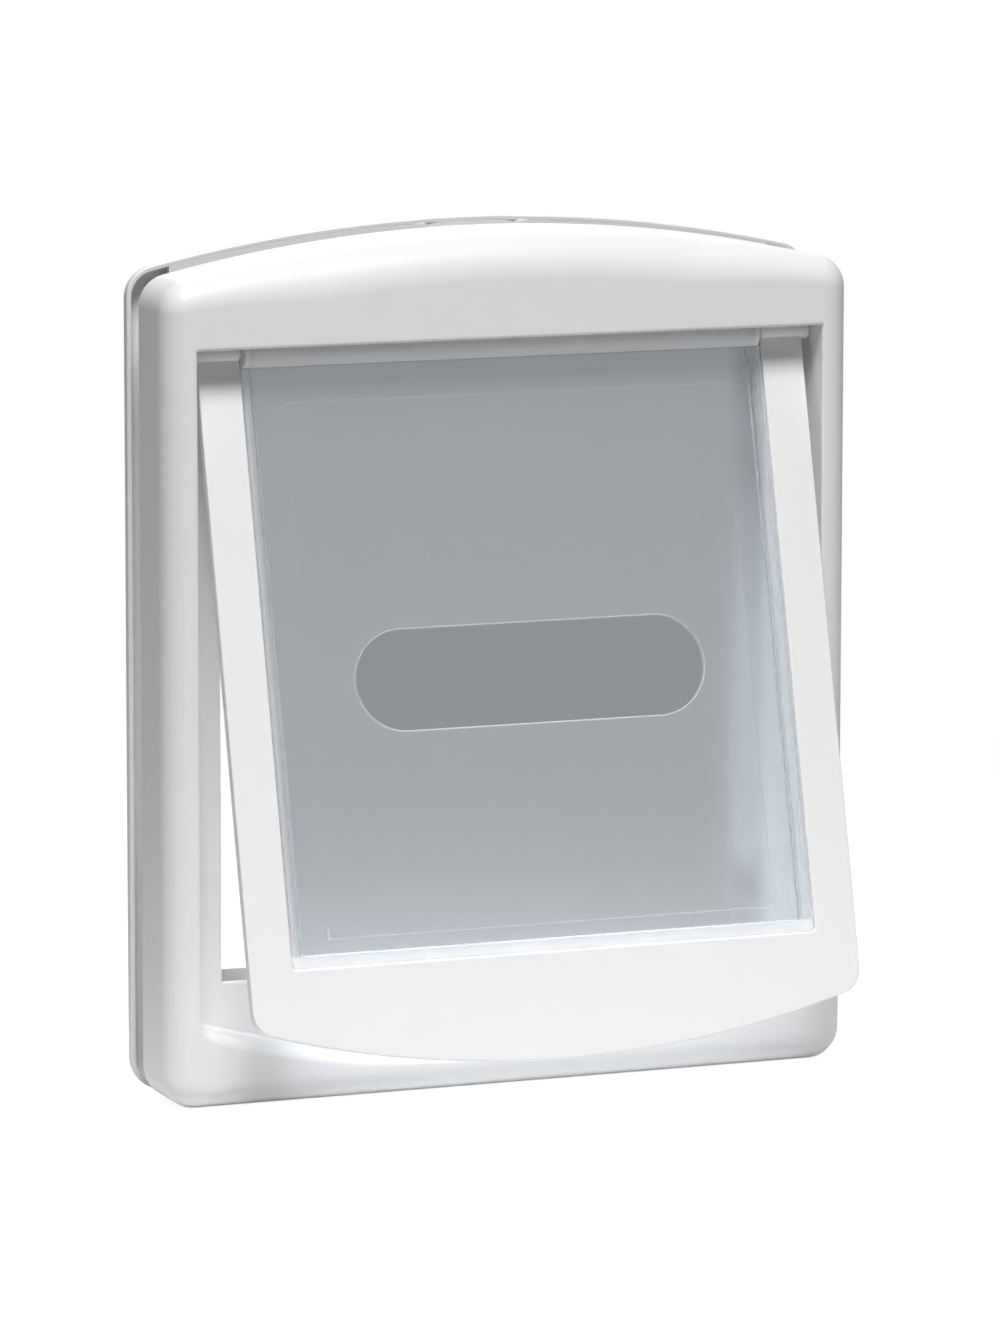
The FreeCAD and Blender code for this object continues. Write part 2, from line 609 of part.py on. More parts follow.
# Hinge pins, held in the frame's bosses by a clip each.
hinge_pins = both_sides("hinge_pin", lambda name, sign: rod(
    name, "pin_radius", "X", ordered(sign, "pin_inner", "pin_outer"), "axle_y", "axle_z"))
clip_span = ("boss_end", "boss_end + clip_thickness")
clip_discs = both_sides("clip_disc", lambda name, sign: rod(
    name, "clip_radius", "X", ordered(sign, *clip_span), "axle_y", "axle_z"))
clip_holes = both_sides("clip_hole", lambda name, sign: rod(
    name, "pin_radius", "X", ordered(sign, *clip_span), "axle_y", "axle_z"))
pin_clips = doc.addObject("Part::Compound", "pin_clips")
pin_clips.Links = [
    cut("clip_" + side, disc, hole)
    for side, disc, hole in zip(("left", "right"), clip_discs, clip_holes)
]

# Magnet behind the recess wall, which holds the closed surround.
frame_magnet = box("frame_magnet", ("-magnet_half", "magnet_half"),
                   ("cover_front - frame_magnet_thickness", "cover_front"),
                   ("axle_z - magnet_low", "axle_z - magnet_high"))
frame_magnet_cover = box("frame_magnet_cover", ("-cover_half", "cover_half"), ("cover_front", "tray_back"),
                         ("axle_z - cover_low", "axle_z - cover_high"))

# Surround: the white part that swings outwards, drawn hanging from the hinge axis.
surround = new_body("flap_surround", hangs=True)
plate_sketch = new_sketch(surround, "surround_outline", "XZ_Plane", "plate_half")
arched(plate_sketch, "surround_half", "0", "-surround_length", "surround_arc")
grow(surround, "Pad", "surround_plate", plate_sketch, "surround_thickness")
round_body(surround, "surround_corners", "surround_corner",
           lambda edge: runs_along_y(edge) and edge.CenterOfMass.z < -number("window_length"))
window_sketch = new_sketch(surround, "window_outline", "XZ_Plane", "-plate_half")
rectangle(window_sketch, "window_half", "-window_length", "knuckle_radius")
grow(surround, "Pocket", "window", window_sketch, "surround_thickness")
round_body(surround, "window_corners", "window_corner",
           lambda edge: runs_along_y(edge) and near(edge.CenterOfMass.z, -number("window_length")))
knuckle_sketch = new_sketch(surround, "knuckle_circle", "YZ_Plane", "window_half")
circle(knuckle_sketch, "knuckle_radius")
knuckle = grow(surround, "Pad", "knuckle", knuckle_sketch, "knuckle_end - window_half")
mirrored(surround, "knuckles", knuckle)
surround_bore_sketch = new_sketch(surround, "bore_circle", "YZ_Plane", "0")
circle(surround_bore_sketch, "pin_radius + pin_clearance")
grow(surround, "Pocket", "bore", surround_bore_sketch, "2 * knuckle_end + 2 * overrun", both_ways=True)
pocket_sketch = new_sketch(surround, "magnet_outline", "XZ_Plane", "surround_magnet_front")
rectangle(pocket_sketch, "magnet_half", "-magnet_low", "-magnet_high")
grow(surround, "Pocket", "surround_magnet_pocket", pocket_sketch, "surround_thickness")
step_sketch = new_sketch(surround, "cover_outline", "XZ_Plane", "surround_cover_front")
rectangle(step_sketch, "cover_half", "-cover_low", "-cover_high")
grow(surround, "Pocket", "surround_cover_pocket", step_sketch, "surround_thickness")

surround_magnet = new_body("surround_magnet", hangs=True)
bar_sketch = new_sketch(surround_magnet, "bar_outline", "XZ_Plane", "surround_cover_front")
rectangle(bar_sketch, "magnet_half", "-magnet_low", "-magnet_high")
grow(surround_magnet, "Pad", "bar", bar_sketch, "surround_cover_front - surround_magnet_front")

surround_cover = new_body("surround_magnet_cover", hangs=True)
lid_sketch = new_sketch(surround_cover, "lid_outline", "XZ_Plane", "plate_half")
rectangle(lid_sketch, "cover_half", "-cover_low", "-cover_high")
grow(surround_cover, "Pad", "lid", lid_sketch, "surround_cover_thickness")

# Panel: the clear flap inside the surround, which also swings inwards through the passage.
panel = new_body("flap_panel", hangs=True)
skin_sketch = new_sketch(panel, "skin_outline", "XZ_Plane", "panel_thickness - panel_front")
rectangle(skin_sketch, "panel_half", "-panel_bottom", "0")
grow(panel, "Pad", "skin", skin_sketch, "panel_thickness")
rim_sketch = new_sketch(panel, "rim_outline", "XZ_Plane", "flange_back")
channel(rim_sketch, "panel_half", "-panel_bottom", "rim_inner_half", "-rim_inner_bottom", "0")
grow(panel, "Pad", "rim", rim_sketch, "flange_back + panel_front + rim_lift")
round_body(panel, "rim_corners", "window_corner - panel_gap",
           lambda edge: runs_along_y(edge) and near(abs(edge.CenterOfMass.x), number("panel_half"))
           and near(edge.CenterOfMass.z, -number("panel_bottom")))
flange_sketch = new_sketch(panel, "flange_outline", "XZ_Plane", "flange_back")
channel(flange_sketch, "flange_half", "-flange_bottom", "rim_inner_half", "-rim_inner_bottom",
        "-flange_start")
grow(panel, "Pad", "flange", flange_sketch, "flange_thickness")
roll_sketch = new_sketch(panel, "roll_circle", "YZ_Plane", "0")
circle(roll_sketch, "roll_radius")
grow(panel, "Pad", "roll", roll_sketch, "2 * roll_end", both_ways=True)
field_sketch = new_sketch(panel, "field_outline", "XZ_Plane", "0")
rectangle(field_sketch, "field_half_width", "-field_bottom", "-field_top")
grow(panel, "Pad", "field", field_sketch, "panel_front + field_lift")
round_body(panel, "field_corners", "field_corner",
           lambda edge: runs_along_y(edge)
           and near(abs(edge.CenterOfMass.x), number("field_half_width")))
badge_sketch = new_sketch(panel, "badge_outline", "XZ_Plane", "-panel_front - field_lift")
slot(badge_sketch, "badge_straight", "badge_end", "-badge_drop")
grow(panel, "Pocket", "badge", badge_sketch, "badge_depth")
socket_sketch = new_sketch(panel, "socket_circle", "YZ_Plane", "panel_half")
circle(socket_sketch, "pin_radius + pin_clearance")
socket = grow(panel, "Pocket", "socket", socket_sketch, "panel_half - pin_inner + pin_tail")
mirrored(panel, "sockets", socket)

doc.recompute()
for item in doc.Objects:
    if "Invalid" in item.State or "Error" in item.State:
        raise RuntimeError("%s did not build: %s" % (item.Name, item.State))

nodes = [
    front_frame, rear_frame, frame_screws, screw_caps, *hinge_pins, pin_clips, frame_magnet,
    frame_magnet_cover, surround, surround_magnet, surround_cover, panel,
]
for node in nodes:
    if node.Shape.isNull() or not node.Shape.isValid():
        raise RuntimeError(node.Label + " has no valid shape")

os.makedirs("parts", exist_ok=True)
for node in nodes:
    node.Shape.exportStep("parts/" + node.Label + ".step")
    bounds = node.Shape.BoundBox
    print("%-22s solids %d volume %10.1f x %.1f..%.1f y %.1f..%.1f z %.1f..%.1f" % (
        node.Label, len(node.Shape.Solids), node.Shape.Volume, bounds.XMin, bounds.XMax,
        bounds.YMin, bounds.YMax, bounds.ZMin, bounds.ZMax))
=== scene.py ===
import bmesh
import bpy
import json
import math
from collections import namedtuple
from mathutils import Matrix, Vector


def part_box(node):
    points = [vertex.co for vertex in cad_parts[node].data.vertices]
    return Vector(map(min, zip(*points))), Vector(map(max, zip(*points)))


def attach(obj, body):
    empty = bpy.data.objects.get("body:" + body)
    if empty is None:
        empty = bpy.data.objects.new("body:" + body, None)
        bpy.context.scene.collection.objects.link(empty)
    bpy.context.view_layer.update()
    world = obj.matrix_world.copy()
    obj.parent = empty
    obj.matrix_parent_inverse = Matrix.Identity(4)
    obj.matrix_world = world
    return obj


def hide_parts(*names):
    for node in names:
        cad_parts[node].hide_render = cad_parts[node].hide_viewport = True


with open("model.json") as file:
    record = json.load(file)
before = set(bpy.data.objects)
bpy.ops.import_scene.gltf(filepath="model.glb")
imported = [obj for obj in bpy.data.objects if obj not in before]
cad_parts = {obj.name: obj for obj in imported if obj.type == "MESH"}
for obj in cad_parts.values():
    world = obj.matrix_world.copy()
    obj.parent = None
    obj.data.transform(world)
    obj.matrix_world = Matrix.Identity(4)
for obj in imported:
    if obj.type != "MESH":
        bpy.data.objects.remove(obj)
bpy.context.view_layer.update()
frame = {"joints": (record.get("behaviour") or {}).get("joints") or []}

# Meshes are drawn in millimetres and brought to metres when a piece is finished.
mm = 0.001
straight = 1e8  # bow radius of a straight edge
overlap = 0.4  # how far an added boss or rib runs into its wall


def reach(node):
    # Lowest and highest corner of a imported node, in millimetres.
    low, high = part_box(node)
    return low / mm, high / mm


swing = next(joint for joint in frame["joints"] if joint["name"] == "surround_swing")
axle = Vector(swing["pos_m"]) / mm
openAngle = -math.radians(swing["range_deg"][0])
hanging = Matrix.Translation(axle) @ Matrix.Rotation(-openAngle, 4, "X")


# Mesh tools

Spot = namedtuple("Spot", "x z inX inZ part")


def outline(half, low, high, lowBow, highBow, lowCorner, highCorner, steps=(16, 10, 12, 28)):
    # A closed form with bowed base and top, from the middle of the base round to the right.
    baseSteps, cornerSteps, sideSteps, topSteps = steps
    lowCentre, highCentre = low + lowBow, high - highBow
    lowX, highX = half - lowCorner, half - highCorner
    lowZ = lowCentre - math.sqrt((lowBow - lowCorner) ** 2 - lowX ** 2)
    highZ = highCentre + math.sqrt((highBow - highCorner) ** 2 - highX ** 2)
    tilt = math.atan2(lowX, lowCentre - lowZ)
    lean = math.atan2(highX, highZ - highCentre)
    right = []
    for step in range(baseSteps):
        angle = tilt * step / baseSteps
        across, up = math.sin(angle), math.cos(angle)
        right.append(Spot(lowBow * across, lowCentre - lowBow * up, -across, up, "base"))
    for step in range(cornerSteps):
        angle = (tilt - math.pi / 2) * (1 - step / cornerSteps)
        across, up = math.cos(angle), math.sin(angle)
        right.append(Spot(lowX + lowCorner * across, lowZ + lowCorner * up, -across, -up, "lowCorner"))
    for step in range(sideSteps):
        right.append(Spot(half, lowZ + (highZ - lowZ) * step / sideSteps, -1, 0, "side"))
    for step in range(cornerSteps):
        angle = (math.pi / 2 - lean) * step / cornerSteps
        across, up = math.cos(angle), math.sin(angle)
        right.append(Spot(highX + highCorner * across, highZ + highCorner * up, -across, -up, "highCorner"))
    for step in range(topSteps + 1):
        angle = lean * (1 - step / topSteps)
        across, up = math.sin(angle), math.cos(angle)
        right.append(Spot(highBow * across, highCentre + highBow * up, -across, -up, "top"))
    left = [Spot(-spot.x, spot.z, -spot.inX, spot.inZ, spot.part) for spot in reversed(right[1:-1])]
    return right + left


def rounded(corners, arcStep=9):
    # A closed form through (x, z, radius) corners, anticlockwise seen from the front.
    spots = []
    for index, (x, z, radius) in enumerate(corners):
        here = Vector((x, z))
        arriving = (here - Vector(corners[index - 1][:2])).normalized()
        leaving = (Vector(corners[(index + 1) % len(corners)][:2]) - here).normalized()
        turn = math.atan2(arriving.x * leaving.y - arriving.y * leaving.x, arriving.dot(leaving))
        inward = Vector((-arriving.y, arriving.x))
        if not radius:
            between = Matrix.Rotation(turn / 2, 2) @ inward / math.cos(turn / 2)
            spots.append(Spot(x, z, between.x, between.y, "corner"))
            continue
        bend = math.copysign(radius, turn)
        centre = here - arriving * radius * math.tan(abs(turn) / 2) + inward * bend
        steps = max(2, round(math.degrees(abs(turn)) / arcStep))
        for step in range(steps + 1):
            facing = Matrix.Rotation(turn * step / steps, 2) @ inward
            place = centre - facing * bend
            spots.append(Spot(place.x, place.y, facing.x, facing.y, "corner"))
    return spots


def bent(spots, inset, depth):
    # The form moved inwards and set at a depth, each a number or a function of the spot.
    placed = []
    for spot in spots:
        inwards = inset(spot) if callable(inset) else inset
        along = depth(spot) if callable(depth) else depth
        placed.append(Vector((spot.x + spot.inX * inwards, along, spot.z + spot.inZ * inwards)))
    return placed


def hoop(centre, radius, count=32):
    # A circle around centre that faces along Y.
    angles = [2 * math.pi * step / count for step in range(count)]
    return [centre + radius * Vector((math.cos(angle), 0, math.sin(angle))) for angle in angles]


def ring(mesh, points):
    verts = [mesh.verts.new(point) for point in points]
    for first, second in zip(verts, verts[1:] + verts[:1]):
        mesh.edges.new((first, second))
    return verts


def edgesOf(mesh, verts):
    return [mesh.edges.get(pair) for pair in zip(verts, verts[1:] + verts[:1])]


def onwards(mesh, verts, points):
    # Extrudes a ring and lays the new ring on the points.
    made = bmesh.ops.extrude_edge_only(mesh, edges=edgesOf(mesh, verts))["geom"]
    fresh = {item for item in made if isinstance(item, bmesh.types.BMVert)}
    following = []
    for vert, point in zip(verts, points):
        partner = next(edge.other_vert(vert) for edge in vert.link_edges if edge.other_vert(vert) in fresh)
        partner.co = point
        following.append(partner)
    return following


def through(mesh, verts, rows):
    # Carries a ring on through several rows of points.
    for points in rows:
        verts = onwards(mesh, verts, points)
    return verts


def cap(mesh, *rings):
    # Fills a flat face between a ring and the rings inside it.
    edges = [edge for verts in rings for edge in edgesOf(mesh, verts)]
    bmesh.ops.triangle_fill(mesh, use_beauty=True, edges=edges, normal=(0, 1, 0))


def turned(mesh, profile, centre, axis, steps=40):
    # Spins (along, radius) points round an axis.
    along = {"X": Vector((1, 0, 0)), "Y": Vector((0, 1, 0))}[axis]
    spots = [Vector(centre) + along * place + Vector((0, 0, radius)) for place, radius in profile]
    verts = [mesh.verts.new(spot) for spot in spots]
    edges = [mesh.edges.new(pair) for pair in zip(verts, verts[1:])]
    bmesh.ops.spin(
        mesh, geom=verts + edges, cent=centre, axis=along, angle=2 * math.pi,
        steps=steps, use_merge=True)


def quarter(steps):
    # Angles from 0 to 90 degrees.
    return [math.pi / 2 * step / steps for step in range(steps + 1)]


def finished(mesh, name, body, material, replaced, hangs=False, sharp=32):
    # Cleans a mesh, brings it to metres and makes it a piece of its body.
    bmesh.ops.remove_doubles(mesh, verts=mesh.verts, dist=0.001)
    bmesh.ops.recalc_face_normals(mesh, faces=mesh.faces)
    if hangs:
        bmesh.ops.transform(mesh, matrix=hanging, verts=mesh.verts)
    bmesh.ops.scale(mesh, vec=(mm, mm, mm), verts=mesh.verts)
    data = bpy.data.meshes.new(name)
    mesh.to_mesh(data)
    mesh.free()
    data.shade_smooth()
    data.set_sharp_from_angle(angle=math.radians(sharp))
    piece = bpy.data.objects.new(name, data)
    bpy.context.scene.collection.objects.link(piece)
    data.materials.append(material)
    weighted = piece.modifiers.new("Weighted", "WEIGHTED_NORMAL")
    weighted.keep_sharp = True
    weighted.weight = 90
    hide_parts(*replaced)
    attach(piece, body)
    return piece


# Materials

class Wire:
    # A socket of a material, so that sums are written as plain expressions.
    def __init__(self, finish, socket):
        self.finish, self.socket = finish, socket

    def sum(self, operation, first, second):
        return self.finish.node("ShaderNodeMath", {"operation": operation}, {0: first, 1: second})

    def __add__(self, other):
        return self.sum("ADD", self, other)

    def __mul__(self, other):
        return self.sum("MULTIPLY", self, other)

    def __sub__(self, other):
        return self.sum("SUBTRACT", self, other)

    def __rsub__(self, other):
        return self.sum("SUBTRACT", other, self)

    def __abs__(self):
        return self.finish.node("ShaderNodeMath", {"operation": "ABSOLUTE"}, {0: self})

    __radd__ = __add__
    __rmul__ = __mul__


class Finish:
    # One material, whose nodes are all made by node().
    def __init__(self, name):
        self.material = bpy.data.materials.new(name)
        self.material.use_nodes = True
        self.tree = self.material.node_tree
        self.tree.nodes.clear()

    def node(self, kind, settings=None, sockets=None, out=0):
        made = self.tree.nodes.new(kind)
        for name, value in (settings or {}).items():
            setattr(made, name, value)
        for key, value in (sockets or {}).items():
            if isinstance(value, Wire):
                self.tree.links.new(value.socket, made.inputs[key])
            else:
                made.inputs[key].default_value = value
        return Wire(self, made.outputs[out]) if made.outputs else None

    def place(self):
        return self.node("ShaderNodeTexCoord", out="Object")

    def noise(self, scale, detail):
        return self.node("ShaderNodeTexNoise", None, {
            "Vector": self.place(), "Scale": scale, "Detail": detail})

    def bump(self, strength, distance, height, **more):
        sockets = {"Strength": strength, "Distance": distance, "Height": height}
        return self.node("ShaderNodeBump", None, sockets | more)

    def blend(self, amount, first, second):
        # The colour sockets of a Mix node are 6 and 7, and its colour result is 2.
        return self.node("ShaderNodeMix", {"data_type": "RGBA"}, {
            0: amount, 6: (*first, 1), 7: (*second, 1)}, out=2)

    def done(self, shader):
        self.node("ShaderNodeOutputMaterial", None, {"Surface": shader})
        return self.material


mouldedLook = {
    "frame": {"light": (0.81, 0.807, 0.802), "dark": (0.795, 0.792, 0.787), "rough": 0.42},
    "surround": {"light": (0.865, 0.862, 0.857), "dark": (0.85, 0.847, 0.842), "rough": 0.40},
    "cloudScale": 16, "patchScale": 55, "roughSpread": 0.10,
    "grainScale": 2600, "grainHeight": 0.000012, "wavesScale": 38, "wavesHeight": 0.00009,
}


def moulded(kind):
    # Satin moulded plastic: a faint cloudiness, slow waves and a very fine grain.
    look = mouldedLook | mouldedLook[kind]
    finish = Finish(kind + "Plastic")
    cloud = finish.noise(look["cloudScale"], 3)
    patch = finish.noise(look["patchScale"], 2)
    grain = finish.bump(0.5, look["grainHeight"], finish.noise(look["grainScale"], 3))
    waves = finish.bump(0.35, look["wavesHeight"], finish.noise(look["wavesScale"], 1), Normal=grain)
    return finish.done(finish.node("ShaderNodeBsdfPrincipled", None, {
        "Base Color": finish.blend(cloud, look["dark"], look["light"]),
        "Roughness": patch * look["roughSpread"] + (look["rough"] - look["roughSpread"] / 2),
        "IOR": 1.5, "Normal": waves}))


clearLook = {
    "tint": (0.865, 0.94, 0.985), "badgeTint": (0.59, 0.645, 0.685), "veil": (0.73, 0.735, 0.74),
    "rough": 0.25, "rollEase": 0.02, "badgeEase": 0.04, "sideEdge": 73.2, "edgeSoft": 0.2,
    "milkColour": (0.88, 0.885, 0.89), "milk": 0.05, "sideMilk": 0.16, "baseMilk": 0.5, "rollMilk": 0.65,
    # The line settings paint highlight lines: milkier strips along the field's and the badge's edges, faded
    # near the field's bottom.
    "highlightMilk": 0.17, "lineHalf": 0.2, "lineSoft": 0.1, "highlightFade": 0.85, "fadeRise": 3.0,
    "stippleScale": 2400, "stippleHeight": 0.00003, "badgeSmooth": 0.35,
}


def clearPlastic():
    # Smoked clear plastic: a finely frosted plate, a milkier rim and roll, and painted highlight lines along
    # the edges of the raised field and the badge.
    finish = Finish("clearPlastic")
    place = finish.place()
    across, along, up = (finish.node("ShaderNodeSeparateXYZ", None, {0: place}, out) for out in range(3))
    # Distance from the axle down the panel, in metres.
    down = (up - axle.z * mm) * -math.cos(openAngle) - (along - axle.y * mm) * math.sin(openAngle)
    size, look = flapPanel, clearLook
    side = abs(across)

    def inside(amount, limit, soft=look["edgeSoft"]):
        # Runs from 1 to 0 as an amount in metres passes a limit in millimetres.
        return finish.node("ShaderNodeMapRange", {"interpolation_type": "SMOOTHSTEP"}, {
            "Value": amount, "From Min": (limit - soft) * mm, "From Max": (limit + soft) * mm,
            "To Min": 1.0, "To Max": 0.0})

    def largest(first, second):
        return finish.node("ShaderNodeMath", {"operation": "MAXIMUM"}, {0: first, 1: second})

    def line(amount, limit):
        # A thin line where an amount crosses a limit.
        return inside(abs(amount - limit * mm), look["lineHalf"], look["lineSoft"])

    middle = inside(side, look["sideEdge"])
    high = inside(down, size["rimInnerBottom"])
    roll = inside(down, size["rollRadius"])
    plate = middle * high * (1 - roll)
    run = largest(side - size["badgeStraight"] * mm, 0.0)
    drop = down - size["badgeDrop"] * mm
    away = finish.node("ShaderNodeMath", {"operation": "SQRT"}, {0: run * run + drop * drop})
    badge = inside(away, size["badgeEnd"])
    frosted = plate * (1 - badge * look["badgeSmooth"])
    # How far a point is outside the raised field, and painted highlight lines along its edge and the badge's:
    # milkier strips standing in for light caught at those edges, faded towards the field's bottom.
    fieldRise = (size["fieldBottom"] - size["fieldTop"]) / 2
    fieldMiddle = (size["fieldBottom"] + size["fieldTop"]) / 2
    beside = largest(side - size["fieldHalf"] * mm, abs(down - fieldMiddle * mm) - fieldRise * mm)
    faded = 1 - inside(down, size["fieldBottom"] - look["fadeRise"]) * look["highlightFade"]
    paintedHighlights = line(away, size["badgeEnd"]) + line(beside, 0) * faded
    milkShare = (1 - middle) * look["sideMilk"] + (1 - high) * look["baseMilk"] + roll * look["rollMilk"]
    # The painted highlight lines get extra milk, which makes them whiter.
    milkShare = milkShare + paintedHighlights * look["highlightMilk"] + look["milk"]
    stipple = finish.bump(0.6, look["stippleHeight"], finish.noise(look["stippleScale"], 2) * frosted)
    surface = finish.node("ShaderNodeBsdfPrincipled", None, {
        "Base Color": finish.blend(badge * plate, look["tint"], look["badgeTint"]),
        "IOR": 1.49, "Transmission Weight": 1.0,
        "Roughness": look["rough"] - roll * look["rollEase"] - badge * plate * look["badgeEase"],
        "Normal": stipple})
    milk = finish.node("ShaderNodeBsdfPrincipled", None, {
        "Base Color": (*look["milkColour"], 1), "Roughness": 0.5, "Normal": stipple})
    body = finish.node("ShaderNodeMixShader", None, {0: milkShare, 1: surface, 2: milk})
    # Lamps shine through the panel, so that the frame behind it is lit.
    shade = finish.node("ShaderNodeLightPath", out="Is Shadow Ray")
    veil = finish.node("ShaderNodeBsdfTransparent", None, {"Color": (*look["veil"], 1)})
    return finish.done(finish.node("ShaderNodeMixShader", None, {0: shade, 1: body, 2: veil}))


zincLook = {
    "scale": 700, "dark": (0.62, 0.62, 0.63), "light": (0.76, 0.76, 0.77), "rough": 0.2, "roughSpread": 0.2,
}


def steel():
    # Bright zinc plating with fine uneven patches.
    look = zincLook
    finish = Finish("zincSteel")
    patch = finish.noise(look["scale"], 4)
    return finish.done(finish.node("ShaderNodeBsdfPrincipled", None, {
        "Base Color": finish.blend(patch, look["dark"], look["light"]),
        "Metallic": 1.0, "Roughness": patch * look["roughSpread"] + look["rough"]}))


powderLook = {
    "scale": 1800, "dark": (0.10, 0.10, 0.105), "light": (0.19, 0.19, 0.195), "rough": 0.5,
    "roughSpread": 0.25, "speckHeight": 0.00004,
}


def ferrite():
    # Dark pressed magnet powder with a speckle.
    look = powderLook
    finish = Finish("ferrite")
    speck = finish.noise(look["scale"], 5)
    return finish.done(finish.node("ShaderNodeBsdfPrincipled", None, {
        "Base Color": finish.blend(speck, look["dark"], look["light"]),
        "Roughness": speck * look["roughSpread"] + look["rough"],
        "Normal": finish.bump(0.4, look["speckHeight"], speck)}))


# Front frame

frontLow, frontHigh = reach("front_frame")
frontFrame = {
    "half": frontHigh.x, "crest": frontHigh.z, "face": frontLow.y, "crownBow": 415.0, "wall": 1.8,
    "sideRound": 7.5, "crownRound": 13.0, "crownHalf": 55.0, "baseCorner": 9.0, "topCorner": 8.5,
    "rimEase": 0.3,
    "recessHalf": 90.26, "recessFloor": 8.4, "recessBow": 300.85, "recessRoof": 208.0, "recessBack": -8.9,
    "recessCorner": 5.5, "lipDrop": 2.95, "lipThickness": 1.0, "squareCorner": 0.4,
    "mouthEase": 0.6, "lipEase": 0.9, "floorEase": 3.0, "backEase": 0.7,
    "easeShare": 0.7, "roofEase": 0.02, "mouthStep": 0.1, "trayLap": 0.05, "rimInnerEase": 0.25,
    "passageHalf": 79.4, "sill": 32.0, "passageTop": 207.6, "passageEase": 0.35, "sillEase": 0.9,
    "bossRadius": 3.5, "coreRadius": 1.62, "coreDepth": 6.4, "screwX": 84.8, "screwZ": (52.0, 178.0),
    "pinBossRadius": 4.0, "pinBossEnd": 95.36, "pinBossEase": 0.3, "padHalf": 12.5, "padEase": 0.5,
    "padCorner": 1.0, "padWall": 0.41, "coverGap": 0.06,
}


def block(halfX, low, high, corner=0.5):
    return outline(halfX, low, high, straight, straight, corner, corner, (1, 3, 1, 1))


